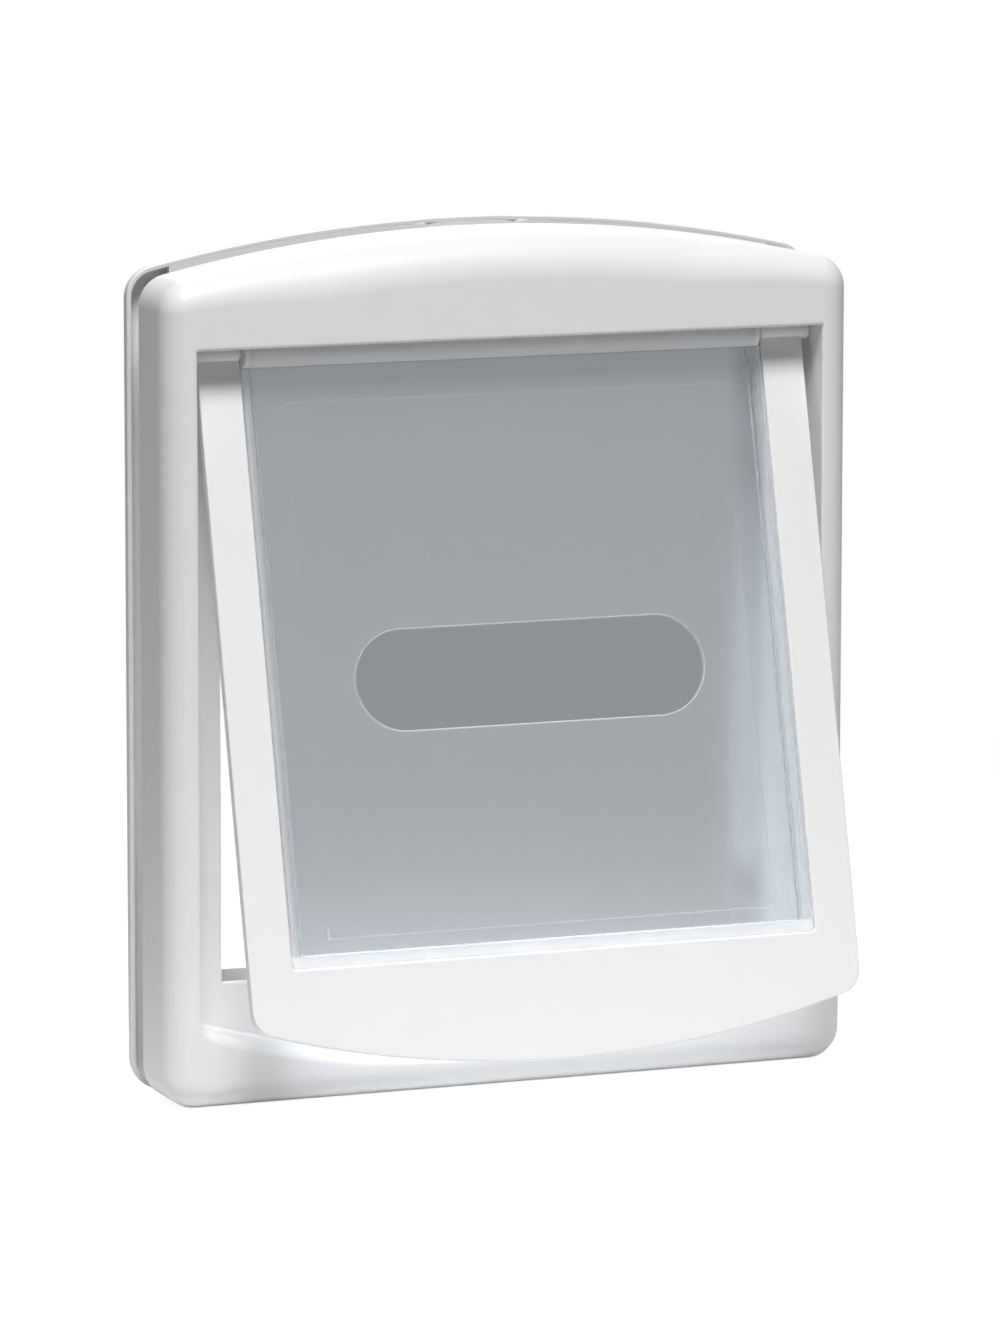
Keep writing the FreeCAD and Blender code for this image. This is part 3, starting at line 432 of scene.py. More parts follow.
def makeFrontFrame(material):
    size = frontFrame
    face, wall = size["face"], size["wall"]
    outer = outline(
        size["half"], 0, size["crest"], straight, size["crownBow"], size["baseCorner"], size["topCorner"])
    topReach = max(spot.x for spot in outer if spot.part == "top")

    def rounding(spot):
        # The crown is rounded more than the sides, and runs into them towards its ends.
        if spot.part != "top":
            return size["sideRound"]
        share = (abs(spot.x) - size["crownHalf"]) / (topReach - size["crownHalf"])
        return size["crownRound"] + (size["sideRound"] - size["crownRound"]) * min(max(share, 0), 1)

    def skin(angle, inner):
        # One row of the rounding, on the outside or on the inside of the wall.
        depth = lambda spot: face + inner + (rounding(spot) - inner) * (1 - math.sin(angle))
        inset = lambda spot: inner + (rounding(spot) - inner) * (1 - math.cos(angle))
        return bent(outer, inset, depth)

    mesh = bmesh.new()
    rim = size["rimEase"]
    first = ring(mesh, bent(outer, rim, 0))
    loop = through(mesh, first, [bent(outer, 0, -rim)] + [skin(angle, 0) for angle in quarter(12)])

    # The mouth of the recess: crisp at its sides, soft along its floor, thin at its lip.
    def recess(top, more):
        # The form of the recess below a height, or that of its tray's outside.
        return outline(
            size["recessHalf"] + more, size["recessFloor"] - more, top + more, size["recessBow"] + more,
            straight, size["recessCorner"] + more, size["squareCorner"])

    mouth = recess(size["recessRoof"] - size["lipDrop"], 0)
    roof = recess(size["recessRoof"], 0)
    lowSpots = [spot for spot in mouth if spot.part == "base"]
    floorEnd = max(spot.z for spot in lowSpots)

    def ease(spot):
        full = min(size["floorEase"], size["easeShare"] * (spot.z - size["sideRound"]))
        if spot.part == "base":
            return full
        if spot.part == "lowCorner":
            share = min(max((spot.z - floorEnd) / size["recessCorner"], 0), 1)
            full = min(size["floorEase"], size["easeShare"] * (floorEnd - size["sideRound"]))
            return full + (size["mouthEase"] - full) * share
        return size["mouthEase"] if spot.part == "side" else size["lipEase"]

    def mouthRow(angle):
        return bent(mouth, lambda spot: -ease(spot) * (1 - math.sin(angle)),
                    lambda spot: face + ease(spot) * (1 - math.cos(angle)))

    def behind(spot, more):
        # Depth of the lip's back, and a little more elsewhere so that no face is flat to nothing.
        deep = face + max(size["lipThickness"], ease(spot) + size["mouthStep"])
        return deep + (0 if spot.part in ("top", "highCorner") else more)

    loop = through(mesh, loop, [mouthRow(angle) for angle in quarter(6)])
    loop = through(mesh, loop, [bent(mouth, 0, lambda spot: behind(spot, 0)),
                                bent(roof, 0, lambda spot: behind(spot, size["mouthStep"]))])

    # Recess walls, with a small fillet at the back wall.
    back = size["recessBack"]
    hollowEase = lambda spot: size["roofEase" if spot.part in ("top", "highCorner") else "backEase"]
    loop = through(mesh, loop, [
        bent(roof, lambda spot: hollowEase(spot) * (1 - math.cos(angle)),
             lambda spot: back - hollowEase(spot) * (1 - math.sin(angle)))
        for angle in quarter(4)])

    # Back wall of the recess, with the magnet's pad, and the passage through it.
    magnetLow, magnetHigh = reach("frame_magnet")
    coverLow, coverHigh = reach("frame_magnet_cover")
    padRise = size["padHalf"] - magnetHigh.x
    padFront = magnetLow.y - size["padWall"]
    pad = block(size["padHalf"], magnetLow.z - padRise, magnetHigh.z + padRise, size["padCorner"])
    passage = outline(
        size["passageHalf"], size["sill"], size["passageTop"], straight, straight,
        size["squareCorner"], size["squareCorner"])
    passageEase = lambda spot: size["sillEase"] if spot.part == "base" else size["passageEase"]
    passageFront = ring(mesh, bent(passage, lambda spot: -passageEase(spot), back))
    padBase = ring(mesh, bent(pad, 0, back))
    cap(mesh, loop, passageFront, padBase)
    padTop = through(mesh, padBase, [
        bent(pad, size["padEase"] * (1 - math.cos(angle)), padFront + size["padEase"] * (1 - math.sin(angle)))
        for angle in quarter(3)])
    cap(mesh, padTop)
    trayBack = coverHigh.y
    loop = through(mesh, passageFront, [
        bent(passage, lambda spot: -passageEase(spot) * (1 - math.sin(angle)),
             lambda spot: back + passageEase(spot) * (1 - math.cos(angle)))
        for angle in quarter(4)[1:]] + [bent(passage, 0, trayBack)])

    # Outside of the recess's tray, with the screw bosses and the magnet's pocket.
    tray = recess(size["recessRoof"], wall)
    trayRing = ring(mesh, bent(tray, 0, trayBack))
    holes = []
    for side in (-1, 1):
        for height in size["screwZ"]:
            spot = Vector((side * size["screwX"], trayBack, height))
            forward = Vector((0, -trayBack, 0))
            boss = ring(mesh, hoop(spot, size["bossRadius"]))
            holes.append(boss)
            core = through(mesh, boss, [
                hoop(spot + forward, size["bossRadius"]), hoop(spot + forward, size["coreRadius"]),
                hoop(Vector((spot.x, -size["coreDepth"], height)), size["coreRadius"])])
            cap(mesh, core)
    gap = size["coverGap"]
    coverRim = block(coverHigh.x + gap, coverLow.z - gap, coverHigh.z + gap)
    magnetRim = block(magnetHigh.x, magnetLow.z, magnetHigh.z)
    pocket = ring(mesh, bent(coverRim, 0, trayBack))
    cap(mesh, loop, trayRing, pocket, *holes)
    cap(mesh, through(mesh, pocket, [
        bent(coverRim, 0, coverLow.y), bent(magnetRim, 0, coverLow.y), bent(magnetRim, 0, magnetLow.y)]))

    # Forward along the tray, then back inside the outer wall to the rim.
    loop = through(mesh, trayRing, [bent(tray, 0, face + wall + size["trayLap"])])
    loop = through(mesh, loop, [skin(angle, wall) for angle in reversed(quarter(12)[:-1])])
    inner = size["rimInnerEase"]
    through(mesh, loop, [bent(outer, wall, -inner), bent(outer, wall - inner, 0), bent(outer, rim, 0)])

    # Bosses that carry the hinge pins.
    for side in (-1, 1):
        start, end = side * (size["recessHalf"] + wall - overlap), side * size["pinBossEnd"]
        radius, edge = size["pinBossRadius"], size["pinBossEase"]
        profile = [(start, 0), (start, radius), (end - side * edge, radius), (end, radius - edge), (end, 0)]
        turned(mesh, profile, (0, axle.y, axle.z), "X")
    finished(mesh, "frontShell", "frame", material, ["front_frame"])
    print("front frame done")


# Rear frame

rearLow, rearHigh = reach("rear_frame")
rearFrame = {
    "half": rearHigh.x, "crest": rearHigh.z, "door": rearLow.y, "back": rearHigh.y, "crownBow": 415.0,
    "wall": 1.8, "rim": 1.3, "round": 4.0, "baseCorner": 9.0, "topCorner": 8.5, "rimEase": 0.25,
    "openHalf": 80.0, "openLow": 30.9, "openHigh": 208.0, "openEase": 0.4, "squareCorner": 0.4,
    "webHalf": 87.0, "scoopHalf": 12.5, "scoopRamp": 1.6, "scoopDepth": 0.9, "scoopHeight": 3.0,
    "bossRadius": 4.6, "wayRadius": 1.85, "headWay": 3.3, "headSeat": 11.5, "headEase": 0.15,
    "rimInnerEase": 0.2, "webEase": 0.3, "scoopStep": 0.15, "scoopSkin": 0.02,
}


def makeRearFrame(material):
    size = rearFrame
    door, back, rim = size["door"], size["back"], size["rim"]
    outer = outline(
        size["half"], 0, size["crest"], straight, size["crownBow"], size["baseCorner"], size["topCorner"])

    def scoop(x):
        share = (size["scoopHalf"] + size["scoopRamp"] - abs(x)) / size["scoopRamp"]
        return size["scoopDepth"] * min(max(share, 0), 1)

    def front(more):
        return lambda spot: door + more + (scoop(spot.x) if spot.part == "top" else 0)

    def skin(angle, inner):
        # One row of the rounding of the back edge, outside or inside the wall.
        face = back - (size["wall"] if inner else 0)
        radius = size["round"] - inner
        return bent(outer, inner + radius * (1 - math.cos(angle)), face - radius * (1 - math.sin(angle)))

    mesh = bmesh.new()
    ease = size["rimEase"]
    first = ring(mesh, bent(outer, ease, front(0)))
    outside = through(mesh, first, [bent(outer, 0, front(ease))] + [skin(angle, 0) for angle in quarter(8)])
    opening = outline(
        size["openHalf"], size["openLow"], size["openHigh"], straight, straight,
        size["squareCorner"], size["squareCorner"])
    openBack = ring(mesh, bent(opening, -size["openEase"], back))
    outerHoles, innerHoles = [], []
    for side in (-1, 1):
        for height in frontFrame["screwZ"]:
            spot = Vector((side * frontFrame["screwX"], 0, height))
            at = lambda y: Vector((spot.x, y, spot.z))
            edge = size["headEase"]
            seat = ring(mesh, hoop(at(back), size["headWay"] + edge))
            outerHoles.append(seat)
            innerHoles.append(through(mesh, seat, [
                hoop(at(back - edge), size["headWay"]), hoop(at(size["headSeat"]), size["headWay"]),
                hoop(at(size["headSeat"]), size["wayRadius"]), hoop(at(door), size["wayRadius"]),
                hoop(at(door), size["bossRadius"]), hoop(at(back - size["wall"]), size["bossRadius"])]))
    cap(mesh, outside, openBack, *outerHoles)
    openFront = through(mesh, openBack, [
        bent(opening, -size["openEase"] * (1 - math.sin(angle)),
             back - size["openEase"] * (1 - math.cos(angle)))
        for angle in quarter(3)[1:]] + [bent(opening, 0, back - size["wall"])])
    inside = ring(mesh, skin(math.pi / 2, rim))
    cap(mesh, inside, openFront, *innerHoles)
    loop = through(mesh, inside, [skin(angle, rim) for angle in reversed(quarter(8)[:-1])])
    inner = size["rimInnerEase"]
    through(mesh, loop, [
        bent(outer, rim, front(inner)), bent(outer, rim - inner, front(0)), bent(outer, ease, front(0))])

    # The web along the arch, drawn as sections from left to right.
    def section(x):
        arch = size["crest"] - size["crownBow"] + math.sqrt(size["crownBow"] ** 2 - x * x)
        dip = scoop(x)
        high, bottom = arch - rim, arch - size["scoopHeight"]
        edge, skinned = size["webEase"], size["scoopSkin"]
        rows = [
            (door, size["openHigh"] + edge), (door, bottom),
            (door + dip + skinned, bottom + size["scoopStep"]), (door + dip + skinned, high - skinned),
            (door + dip + edge, high + overlap), (door + size["wall"], high + overlap),
            (door + size["wall"], size["openHigh"]), (door + edge, size["openHigh"])]
        return [Vector((x, y, z)) for y, z in rows]

    steps = 80
    ends = [size["webHalf"] * (2 * step / steps - 1) for step in range(steps + 1)]
    scoopEnds = [side * (size["scoopHalf"] + shift) for side in (-1, 1) for shift in (0, size["scoopRamp"])]
    stops = sorted(ends + scoopEnds)
    start = ring(mesh, section(stops[0]))
    end = through(mesh, start, [section(x) for x in stops[1:]])
    bmesh.ops.contextual_create(mesh, geom=edgesOf(mesh, start))
    bmesh.ops.contextual_create(mesh, geom=edgesOf(mesh, end))
    finished(mesh, "rearShell", "frame", material, ["rear_frame"])
    print("rear frame done")


# Screws and their caps

frameScrew = {
    "radius": 1.6, "core": 1.15, "tip": -5.9, "seat": 11.5, "head": 3.0, "headHeight": 2.0, "pitch": 1.25,
    "tipRadius": 0.25, "tipLength": 1.2, "neckTaper": 0.4, "seatEase": 0.1, "headRound": 0.9,
    "threadStart": 1.1, "threadEnd": 9.0, "threadShort": 1.6, "ridgeWidth": 0.5, "ridgeSink": 0.1,
    "turnSteps": 20, "recessWide": 0.42, "recessReach": 1.55, "recessDepth": 1.2, "recessTaper": 0.45,
}


def makeScrews(material):
    size = frameScrew
    mesh = bmesh.new()
    for side in (-1, 1):
        for height in frontFrame["screwZ"]:
            spot = Vector((side * frontFrame["screwX"], 0, height))
            at = lambda y: Vector((spot.x, y, spot.z))
            # Point, core, plain neck and domed head.
            edge, dome = size["seatEase"], size["headRound"]
            rows = [(size["tip"], size["tipRadius"]), (size["tip"] + size["tipLength"], size["core"]),
                    (size["threadEnd"], size["core"]),
                    (size["threadEnd"] + size["neckTaper"], size["radius"]), (size["seat"], size["radius"]),
                    (size["seat"], size["head"] - edge), (size["seat"] + edge, size["head"])]
            top = size["seat"] + size["headHeight"]
            rows += [(top - dome * (1 - math.sin(angle)), size["head"] - dome * (1 - math.cos(angle)))
                     for angle in quarter(5)]
            tip = ring(mesh, hoop(at(rows[0][0]), rows[0][1]))
            cap(mesh, tip)
            rim = through(mesh, tip, [hoop(at(y), radius) for y, radius in rows[1:]])
            wide, far = size["recessWide"], size["recessReach"]
            cross = [(-wide, -far), (wide, -far), (wide, -wide), (far, -wide), (far, wide), (wide, wide),
                     (wide, far), (-wide, far), (-wide, wide), (-far, wide), (-far, -wide), (-wide, -wide)]
            recess = [Spot(spot.x + x, spot.z + z, -x, -z, "corner") for x, z in cross]
            mouth = ring(mesh, bent(recess, 0, top))
            cap(mesh, rim, mouth)
            cap(mesh, through(mesh, mouth, [bent(recess, size["recessTaper"], top - size["recessDepth"])]))
            # Thread, as a ridge wound along the core.
            turns = (size["threadEnd"] - size["tip"] - size["threadShort"]) / size["pitch"]
            foot, width = size["core"] - size["ridgeSink"], size["ridgeWidth"]
            ridge = [(0, foot), (width, foot), (width / 2, size["radius"])]
            start = size["tip"] + size["threadStart"]
            verts = [mesh.verts.new(at(start + along) + Vector((0, 0, radius))) for along, radius in ridge]
            profile = mesh.faces.new(verts)
            bmesh.ops.spin(
                mesh, geom=[profile] + verts + list(profile.edges), cent=at(0), axis=(0, 1, 0),
                angle=2 * math.pi * turns, steps=round(size["turnSteps"] * turns),
                dvec=Vector((0, size["pitch"] / size["turnSteps"], 0)))
    finished(mesh, "clampScrews", "frame", material, ["frame_screws"])
    print("screws done")


screwCap = {
    "radius": 3.24, "front": 13.7, "ease": 0.25, "dimple": 0.5, "dimpleEase": 0.2, "dimpleDepth": 0.25,
}


def makeCaps(material):
    size = screwCap
    mesh = bmesh.new()
    back = rearFrame["back"]
    for side in (-1, 1):
        for height in frontFrame["screwZ"]:
            profile = [(size["front"], 0), (size["front"], size["radius"]),
                       (back - size["ease"], size["radius"]),
                       (back, size["radius"] - size["ease"]), (back, size["dimple"] + size["dimpleEase"]),
                       (back - size["dimpleEase"], size["dimple"]), (back - size["dimpleDepth"], 0)]
            turned(mesh, profile, (side * frontFrame["screwX"], 0, height), "Y")
    finished(mesh, "headCaps", "frame", material, ["screw_caps"])
    print("caps done")


# Hinge pins and their clips

hingePin = {"radius": 1.5, "groove": 1.25, "ease": 0.25}
pinClip = {
    "start": 95.36, "end": 96.16, "slack": 0.03, "outer": 3.5, "inner": 1.3, "relief": 2.0, "mouth": 44,
    "lug": 26, "steps": 36,
}


def makePins(material):
    size = hingePin
    clip = pinClip
    for side, name in ((-1, "left"), (1, "right")):
        low, high = reach("hinge_pin_" + name)
        near, far = sorted((abs(low.x), abs(high.x)))
        radius, ease = size["radius"], size["ease"]
        profile = [(near, 0), (near, radius - ease), (near + ease, radius), (clip["start"], radius),
                   (clip["start"], size["groove"]), (clip["end"], size["groove"]), (clip["end"], radius),
                   (far - ease / 2, radius), (far, radius - ease), (far, 0)]
        mesh = bmesh.new()
        turned(mesh, [(side * along, radius) for along, radius in profile], (0, axle.y, axle.z), "X", 36)
        finished(mesh, name + "HingePin", "frame", material, ["hinge_pin_" + name])
    print("pins done")


def makeClips(material):
    size = pinClip
    mesh = bmesh.new()

    def polar(radius, degrees):
        angle = math.radians(degrees)
        return Vector((0, radius * math.cos(angle), radius * math.sin(angle)))

    # The E shape: an outer arc, then three lugs and two reliefs inside it, open towards -90 degrees.
    gap, steps = size["mouth"], size["steps"]
    span = 360 - 2 * gap
    outer = [polar(size["outer"], -90 + gap + span * step / steps) for step in range(steps + 1)]
    inner = []
    for step in range(steps, -1, -1):
        place = span * step / steps
        lug = min(abs(place - middle) for middle in (0, span / 2, span)) < size["lug"]
        inner.append(polar(size["inner"] if lug else size["relief"], -90 + gap + place))
    shape = outer + inner
    middle = Vector((0, axle.y, axle.z))
    for side in (-1, 1):
        rows = [[middle + point + Vector((side * along, 0, 0)) for point in shape]
                for along in (size["start"] + size["slack"], size["end"] - size["slack"])]
        near = ring(mesh, rows[0])
        far = onwards(mesh, near, rows[1])
        bmesh.ops.contextual_create(mesh, geom=edgesOf(mesh, near))
        bmesh.ops.contextual_create(mesh, geom=edgesOf(mesh, far))
    bmesh.ops.triangulate(mesh, faces=[face for face in mesh.faces if len(face.verts) > 4])
    finished(mesh, "springClips", "frame", material, ["pin_clips"])
    print("clips done")


# Magnets and their covers

magnetEase = {"magnet": 0.35, "cover": 0.2}


def makeBar(name, body, material, node, ease, centre, half, hangs=False):
    # A small bar with eased edges, from its middle and half sizes.
    mesh = bmesh.new()
    bmesh.ops.create_cube(mesh, size=2)
    bmesh.ops.scale(mesh, vec=half, verts=mesh.verts)
    bmesh.ops.translate(mesh, vec=centre, verts=mesh.verts)
    bmesh.ops.bevel(
        mesh, geom=mesh.edges[:], offset=ease, segments=3, affect="EDGES", profile=0.5, material=-1,
        clamp_overlap=True)
    finished(mesh, name, body, material, [node], hangs)


def makeMagnets(ferriteLook, frameLook, surroundLook):
    for node, look, name, ease in (("frame_magnet", ferriteLook, "frameMagnet", "magnet"),
                                   ("frame_magnet_cover", frameLook, "frameMagnetCover", "cover")):
        low, high = reach(node)
        slot = "magnet" if node == "frame_magnet" else "white_frame"
        makeBar(name, "frame", look, node, magnetEase[ease], (low + high) / 2, (high - low) / 2)
    size = flapSurround
    magnet, cover = size["magnet"], size["cover"]
    middle = -size["magnetDrop"]
    makeBar("surroundMagnet", "surround", ferriteLook, "surround_magnet", magnetEase["magnet"],
            Vector((0, (magnet["front"] + cover["front"]) / 2, middle)),
            Vector((magnet["half"], (cover["front"] - magnet["front"]) / 2, magnet["rise"])), True)
    back = size["thickness"] / 2
    makeBar("surroundMagnetCover", "surround", surroundLook, "surround_magnet_cover",
            magnetEase["cover"], Vector((0, (cover["front"] + back) / 2, middle)),
            Vector((cover["half"], (back - cover["front"]) / 2, cover["rise"])), True)
    print("magnets done")


# Surround, drawn hanging from the axle

flapSurround = {
    "half": 87.6, "length": 193.5, "bow": 300.0, "thickness": 3.0, "corner": 7.0, "ease": 0.45,
    "bowHalf": 80, "windowHalf": 75.5, "windowLength": 164.76, "windowCorner": 1.4, "armTop": -0.6,
    "armCorner": 0.5,
    "barrel": 2.45, "barrelEnd": 89.96, "bore": 1.55, "barrelEase": 0.3, "magnetDrop": 180.0,
    "magnet": {"half": 10.0, "rise": 4.0, "front": -0.9}, "cover": {"half": 12.0, "rise": 6.0, "front": 0.7},
    "coverGap": 0.08,
}


def makeSurround(material):
    size = flapSurround
    half, length, bow = size["half"], size["length"], size["bow"]
    window, inner = size["windowHalf"], size["windowLength"]
    sagAt = lambda x: -length + bow - math.sqrt(bow * bow - x * x)
    lowEdge = [(x, sagAt(x), 0) for x in [size["bowHalf"] * (step / 20 - 1) for step in range(41)]]
    top, small = size["armTop"], size["armCorner"]
    shape = rounded(
        [(-half, sagAt(half), size["corner"])] + lowEdge + [(half, sagAt(half), size["corner"])]
        + [(half, top, small), (window, top, small), (window, -inner, size["windowCorner"]),
           (-window, -inner, size["windowCorner"]), (-window, top, small), (-half, top, small)], 6)
    front, back, ease = -size["thickness"] / 2, size["thickness"] / 2, size["ease"]
    mesh = bmesh.new()
    start = ring(mesh, bent(shape, ease, front))
    cap(mesh, start)
    rows = [bent(shape, ease * (1 - math.sin(angle)), front + ease * (1 - math.cos(angle)))
            for angle in quarter(4)[1:]]
    rows += [bent(shape, ease * (1 - math.cos(angle)), back - ease * (1 - math.sin(angle)))
             for angle in quarter(4)]
    end = through(mesh, start, rows)
    cover, magnet, drop = size["cover"], size["magnet"], size["magnetDrop"]
    gap = size["coverGap"]
    coverRim = block(cover["half"] + gap, -drop - cover["rise"] - gap, -drop + cover["rise"] + gap)
    magnetRim = block(magnet["half"], -drop - magnet["rise"], -drop + magnet["rise"])
    pocket = ring(mesh, bent(coverRim, 0, back))
    cap(mesh, end, pocket)
    cap(mesh, through(mesh, pocket, [
        bent(coverRim, 0, cover["front"]), bent(magnetRim, 0, cover["front"]),
        bent(magnetRim, 0, magnet["front"])]))
    for side in (-1, 1):
        radius, far, edge = size["barrel"], size["barrelEnd"], size["barrelEase"]
        profile = [(window, size["bore"]), (window, radius - edge), (window + edge, radius),
                   (far - edge, radius), (far, radius - edge), (far, size["bore"]), (window, size["bore"])]
        turned(mesh, [(side * along, out) for along, out in profile], (0, 0, 0), "X")
    finished(mesh, "swingSurround", "surround", material, ["flap_surround"], True)
    print("surround done")


# Clear panel, drawn hanging from the axle

flapPanel = {
    "half": 75.2, "bottom": 164.46, "corner": 1.1, "front": -0.8, "back": 1.2, "rimFront": -1.0,
    "rimBack": 3.0, "rimInner": 72.0, "rimInnerBottom": 161.26, "rimTop": 0.5, "rimCorners": (0.8, 0.5),
    "rimSlope": 0.15, "rimFoot": 0.3, "flangeHalf": 77.2, "flangeBottom": 166.46, "flangeEase": 0.2,
    "flangeFront": 1.8, "flangeStart": 8.0, "ease": 0.25, "rollRadius": 4.1, "rollEnd": 74.6,
    "socketRadius": 1.55, "socketEnd": 71.3, "fieldHalf": 64.0, "fieldTop": 13.8, "fieldBottom": 157.0,
    "fieldCorner": 2.0, "fieldLift": 0.15, "badgeStraight": 36.65, "badgeEnd": 13.75, "badgeDrop": 89.5,
    "badgeDepth": 0.3, "badgeEase": 0.12, "badgeFoot": 0.15, "fieldEase": 0.1, "slope": 0.1,
}


def makePanel(material):
    size = flapPanel
    half, bottom, ease = size["half"], size["bottom"], size["ease"]
    wide, low, start = size["flangeHalf"], size["flangeBottom"], size["flangeStart"]

    def shouldered(halfX, lowest):
        # The panel's form with its lower part, below the roll, as wide as halfX.
        corner, neck = size["corner"], -start + size["slope"]
        return rounded([
            (-halfX, -lowest, corner), (halfX, -lowest, corner), (halfX, -start, 0), (half, neck, 0),
            (half, 0, 0), (-half, 0, 0), (-half, neck, 0), (-halfX, -start, 0)])

    def plain(halfX, lowest, highest, lowCorner, highCorner, arcStep=9):
        return rounded([
            (-halfX, -lowest, lowCorner), (halfX, -lowest, lowCorner),
            (halfX, -highest, highCorner), (-halfX, -highest, highCorner)], arcStep)

    bodyShape, flangeShape = shouldered(half, bottom), shouldered(wide, low)
    rimShape = plain(size["rimInner"], size["rimInnerBottom"], size["rimTop"], *size["rimCorners"])
    corner, end, drop = size["fieldCorner"], size["badgeEnd"], size["badgeDrop"]
    field = plain(size["fieldHalf"], size["fieldBottom"], size["fieldTop"], corner, corner)
    nearEnd = end - 0.001  # a full half circle would leave a side of no length
    badge = plain(size["badgeStraight"] + end, drop + end, drop - end, nearEnd, nearEnd, 5)
    rimFront, rimBack, front, back = size["rimFront"], size["rimBack"], size["front"], size["back"]
    fieldFace = front - size["fieldLift"]
    mesh = bmesh.new()
    outer = ring(mesh, bent(bodyShape, ease, rimFront))
    slope, fieldEase, badgeEase = size["slope"], size["fieldEase"], size["badgeEase"]
    rimInside = ring(mesh, bent(rimShape, -slope, rimFront))
    cap(mesh, outer, rimInside)
    step = onwards(mesh, rimInside, bent(rimShape, slope / 2, front))
    fieldEdge = ring(mesh, bent(field, -fieldEase, front))
    cap(mesh, step, fieldEdge)
    fieldTop = through(mesh, fieldEdge, [
        bent(field, 0, front - fieldEase), bent(field, badgeEase, fieldFace)])
    badgeEdge = ring(mesh, bent(badge, -badgeEase, fieldFace))
    cap(mesh, fieldTop, badgeEdge)
    cap(mesh, through(mesh, badgeEdge, [
        bent(badge, 0, fieldFace + badgeEase),
        bent(badge, size["badgeFoot"], fieldFace + size["badgeDepth"])]))
    outerBack = through(mesh, outer, [
        bent(bodyShape, 0, rimFront + ease), bent(bodyShape, 0, size["flangeFront"]),
        bent(flangeShape, 0, size["flangeFront"]), bent(flangeShape, 0, rimBack - size["flangeEase"]),
        bent(flangeShape, size["flangeEase"], rimBack)])
    rimSlope, foot = size["rimSlope"], size["rimFoot"]
    rimBehind = ring(mesh, bent(rimShape, -rimSlope, rimBack))
    cap(mesh, outerBack, rimBehind)
    cap(mesh, through(mesh, rimBehind, [
        bent(rimShape, 0, rimBack - rimSlope), bent(rimShape, 0, back + foot), bent(rimShape, foot, back)]))
    bmesh.ops.recalc_face_normals(mesh, faces=mesh.faces)
    plate = bpy.data.meshes.new("plate")
    mesh.to_mesh(plate)
    mesh.free()

    # The roll round the axle, joined to the plate as one solid.
    mesh = bmesh.new()
    radius, far, inner, bore = size["rollRadius"], size["rollEnd"], size["socketEnd"], size["socketRadius"]
    right = [(inner, 0), (inner, bore), (far, bore), (far, radius - ease), (far - ease, radius)]
    turned(mesh, [(-along, out) for along, out in right] + right[::-1], (0, 0, 0), "X", 64)
    bmesh.ops.remove_doubles(mesh, verts=mesh.verts, dist=0.001)
    bmesh.ops.recalc_face_normals(mesh, faces=mesh.faces)
    roll = bpy.data.meshes.new("roll")
    mesh.to_mesh(roll)
    mesh.free()
    plateObject, rollObject = (bpy.data.objects.new(data.name, data) for data in (plate, roll))
    for item in (plateObject, rollObject):
        bpy.context.scene.collection.objects.link(item)
    joining = plateObject.modifiers.new("Join", "BOOLEAN")
    joining.operation = "UNION"
    joining.solver = "EXACT"
    joining.object = rollObject
    joined = bpy.data.meshes.new_from_object(plateObject.evaluated_get(bpy.context.evaluated_depsgraph_get()))
    mesh = bmesh.new()
    mesh.from_mesh(joined)
    for item in (plateObject, rollObject):
        bpy.data.objects.remove(item)
    finished(mesh, "clearFlap", "flap", material, ["flap_panel"], True, 25)
    print("panel done")


framePlastic = moulded("frame")
surroundPlastic = moulded("surround")
panelPlastic = clearPlastic()
steelLook = steel()
ferriteLook = ferrite()
makeFrontFrame(framePlastic)
makeRearFrame(framePlastic)
makeScrews(steelLook)
makeCaps(framePlastic)
makePins(steelLook)
makeClips(steelLook)
makeMagnets(ferriteLook, framePlastic, surroundPlastic)
makeSurround(surroundPlastic)
makePanel(panelPlastic)


# Floor, light and camera

# The floor's own colour holds a painted pool of light: pale round a point in front of the flap, and a painted
# dim floor further off.
stage = {
    "floorSize": 30.0, "paintedPoolColour": (0.84, 0.84, 0.84), "paintedDimFloorColour": (0.22, 0.22, 0.22),
    "paintedPoolMiddle": (0, -0.12, 0), "farFrom": 0.14, "farTo": 0.42,
    "floorGlow": 0.85, "whiteFrom": 0.2, "whiteTo": 0.6, "skyColour": (0.97, 0.985, 1.0), "skyStrength": 0.05,
    "glossShare": 0.5, "clearFloor": 0.16, "clearSky": 0.38,
}
# Lamps stand around the flap at an azimuth and elevation in degrees.
lamps = {
    "key": {"azimuth": -22, "elevation": 60, "size": 0.95, "power": 83, "tint": (0.985, 0.98, 1)},
    "top": {"azimuth": 0, "elevation": 70, "size": 0.75, "power": 9, "tint": (1, 1, 1)},
    "rear": {"azimuth": 160, "elevation": 35, "size": 1.2, "power": 18, "tint": (1, 1, 1)},
    "side": {"azimuth": 20, "elevation": 60, "size": 0.75, "power": 9, "tint": (1, 1, 1)},
}
lampAim = Vector((0, 0, 0.12))
lampDistance = 3.0


def seenShare(finish, clearShare):
    # How much of the white backdrop each kind of ray sees; the frosted flap and gloss see it dimmer.
    camera, glossy, clear = (finish.node("ShaderNodeLightPath", out=kind) for kind in (
        "Is Camera Ray", "Is Glossy Ray", "Is Transmission Ray"))
    onlyGlossy = glossy * (1 - clear)
    return camera, camera + onlyGlossy * stage["glossShare"] + clear * clearShare


